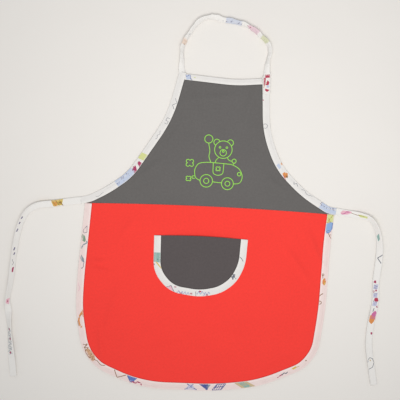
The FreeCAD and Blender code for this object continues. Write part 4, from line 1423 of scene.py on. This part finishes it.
def tie_prints():
    art = Prints(tapes["left_tie"], -TAPE_WIDTH / 2, TAPE_WIDTH / 2)
    art.patch("yellow", -239.7, 33.1, [(-10.5, 6), (-6, -6), (6.6, -6), (10.2, 6)])
    art.patch("orange", -243, 33.1, [(-3, 5.6), (-2, -5.6), (3, -5.6), (6.4, 5.6)])
    for shift in (-6, 0, 6):
        art.stroke("brown", -239.7 + shift, 33.1, [(-2.6, -5), (2.8, 5)], 0.9)
    art.patch("brown", -236, 33.6, [(-2.4, 3), (-2, -3), (2.4, -3.4), (3, 2.4)])
    for x, y, long in ((-296.6, 8.5, 4), (-300.2, -0.6, 3), (-303.4, -13.7, 5),
                       (-306, -42.7, 5), (-305, -50.6, 4)):
        art.stroke("dots", x, y, [(-long / 2, -0.8), (long / 2, 0.8)], 1.5)
    art.patch("wine", -305.6, -76, [(-4.4, -1.8), (4, -1.2), (4.4, 1.8), (-3, 1.6)])
    art.stroke("slate", -307, -64, wave(9, 3, 1), 0.5)
    art.patch("pink", -312, -128, FLAG)
    art.blob("wine", -312, -128, 1.6, 1.2)
    for y in (-176, -187, -198, -207):
        art.stroke("steel", -304, y, wave(12, 8, 2), 0.4)
        art.stroke("slate", -304, y + 3, wave(10, 6, 1.5), 0.25)
    for x, y in ((-304.8, -171.3), (-302.6, -186.3), (-303.4, -209.4)):
        art.blob("wine", x, y, 2.0, 1.6)
    art.finish("left_tie_prints", bend=LEFT_CORNER)
    art = Prints(tapes["right_tie"], -TAPE_WIDTH / 2, TAPE_WIDTH / 2)
    art.patch("pink", 222, 38.5, [(-9, 2), (-6, -2.6), (8, -3.4), (9, -1), (2, 3), (-7, 4)])
    art.patch("magenta", 221, 38.5, [(-8, 2.4), (-3, 0.5), (0, -2.6), (8, -3), (3, 0), (-5, 4)])
    art.stroke("brown", 240, 36, [(-11, -1.4), (0, 0.4), (11, 0)], 0.6)
    art.patch("lime", 249, 34.5, [(-8, -1), (7, -2), (8, 2), (-4, 3)])
    art.patch("teal", 274, 2, [(-6, -2.4), (3, -2.4), (7, 1), (-2, 2.6)])
    art.stroke("slate", 279, -32, [(-7, -4.4), (-1, 4), (7, -2.4)], 0.9)
    art.patch("wine", 272.4, -69.7, [(-2.4, -2), (2.4, -2.4), (1, 2.4), (-2, 1)])
    for y in (-78, -91, -104):
        art.patch("lilac", 274, y, [(-4, -4), (4, -3), (4, 4), (-3, 3)])
        art.stroke("slate", 274, y + 1, wave(6, 6, 1.5), 0.4)
    for x, y in ((271, -85), (275, -84), (278, -110)):
        art.blob("wine", x, y, 1.7, 1.5)
    art.patch("red", 276, -98.5, [(-3.6, -2), (1, -3.8), (4, -1), (1, 3.6), (-3, 2.6)])
    art.stroke("slate", 273, -114, [(-3, 0), (3, 1)], 0.8)
    art.patch("magenta", 274, -122, [(-7, 0), (-2, -6), (7, -6), (7, 6), (-2, 4)])
    art.patch("orange", 272, -130, [(-5, -4), (4, -2), (8, 1), (4, 6), (-6, 6)])
    art.blob("wine", 276, -135, 0.9, 0.8)
    art.blob("wine", 271, -152.7, 2.0, 1.8)
    drop = [(-9, 0.5), (-7, -3.6), (0, -5.2), (7, -2), (9, 4.4)]
    art.stroke("slate", 271.9, -199.9, drop, 0.6)
    art.stroke("slate", 271.9, -199.9, [(-9, 0.5), (-6, 3.6), (-2, 4.8)], 0.6)
    art.blob("tan", 271, -196, 1.3, 1.3)
    art.finish("right_tie_prints", bend=RIGHT_CORNER)


def strap_prints():
    art = Prints(tapes["strap"], -4.2, 4.2)
    art.stroke("brown", -51, 298, [(-4, 2), (0, -2), (2, 3)], 0.8)
    art.blob("slate", -42, 312, 1.5, 1.0)
    for x, y in ((14, 336), (26, 335.5), (38, 333)):
        art.stroke("dots", x, y, wave(7, 3, 1.5), 0.5)
    art.stroke("wine", 52, 329, [(-5, -2), (5, -1)], 0.9)
    art.finish("strap_prints", bend=STRAP_ENDS)


left_armhole_prints()
right_armhole_prints()
skirt_prints()
pocket_prints()
top_prints()
tie_prints()
strap_prints()

# ---- the CAD nodes' own finish

NODE_MATERIALS = {
    "red_cloth": RED, "grey_cloth": GREY, "printed_tape": PLAIN_TAPE, "motif_thread": LIME_THREAD,
    "fleece": FLEECE, "grey_thread": DARK_THREAD, "white_thread": WHITE_THREAD,
    "elastic": FLEECE,
}
for row in frame["record"]["subparts"]:
    node = frame["nodes"][row["node"]]
    node.data.materials.clear()
    node.data.materials.append(NODE_MATERIALS[row["material_slot"]])

# ---- floor and light


FLOOR_LEVEL = -0.0004  # metres; just under the back of the cloth
KEY_AT, KEY_AIM = (0.04, -0.2, 1.25), (0.06, 0.26, 0)
KEY_SIZE, KEY_ENERGY, KEY_SPREAD = (0.8, 0.6), 2.6, 84
WORLD_STRENGTH = 0.5


def make_floor():
    """A pale cloth under the apron."""
    bpy.ops.mesh.primitive_plane_add(size=60, location=(0, 0, FLOOR_LEVEL))
    floor = bpy.context.object
    floor.name = "floor"
    shader = Shader("floor_cloth", roughness=0.9, sheen=0.1, specular=0.15)
    place = shader.node("ShaderNodeTexCoord").outputs["Object"]
    broad = shader.noise(place, 4.0, 3.0, 0.45)
    fine = shader.noise(place, 900.0, 2.0)
    fine = shader.times(fine, 0.12)
    height = shader.plus(shader.times(broad, 6.0), fine)
    share = shader.times(broad, 0.1)
    shade = shader.mix(share, linear(238, 234, 229), linear(216, 212, 206))
    floor.data.materials.append(shader.finish(shade, height, 0.004, 0.35))
    return floor


def make_key_light():
    """A soft light above the hem that shines to the neck."""
    light = bpy.data.lights.new("key", "AREA")
    light.energy, light.shape, light.spread = KEY_ENERGY, "RECTANGLE", math.radians(KEY_SPREAD)
    light.size, light.size_y = KEY_SIZE
    light.color = (1.0, 0.985, 0.965)
    key = bpy.data.objects.new("key", light)
    key.location = KEY_AT
    aim = Vector(KEY_AIM) - Vector(KEY_AT)
    key.rotation_euler = aim.to_track_quat("-Z", "Y").to_euler()
    bpy.context.scene.collection.objects.link(key)
    return key


def make_sky():
    """Even light from all round."""
    world = bpy.data.worlds.new("studio")
    world.use_nodes = True
    world.node_tree.nodes["Background"].inputs[0].default_value = (0.97, 0.985, 1.0, 1)
    world.node_tree.nodes["Background"].inputs[1].default_value = WORLD_STRENGTH
    bpy.context.scene.world = world
    bpy.context.scene.view_settings.view_transform = "Standard"


floor, key = make_floor(), make_key_light()
make_sky()
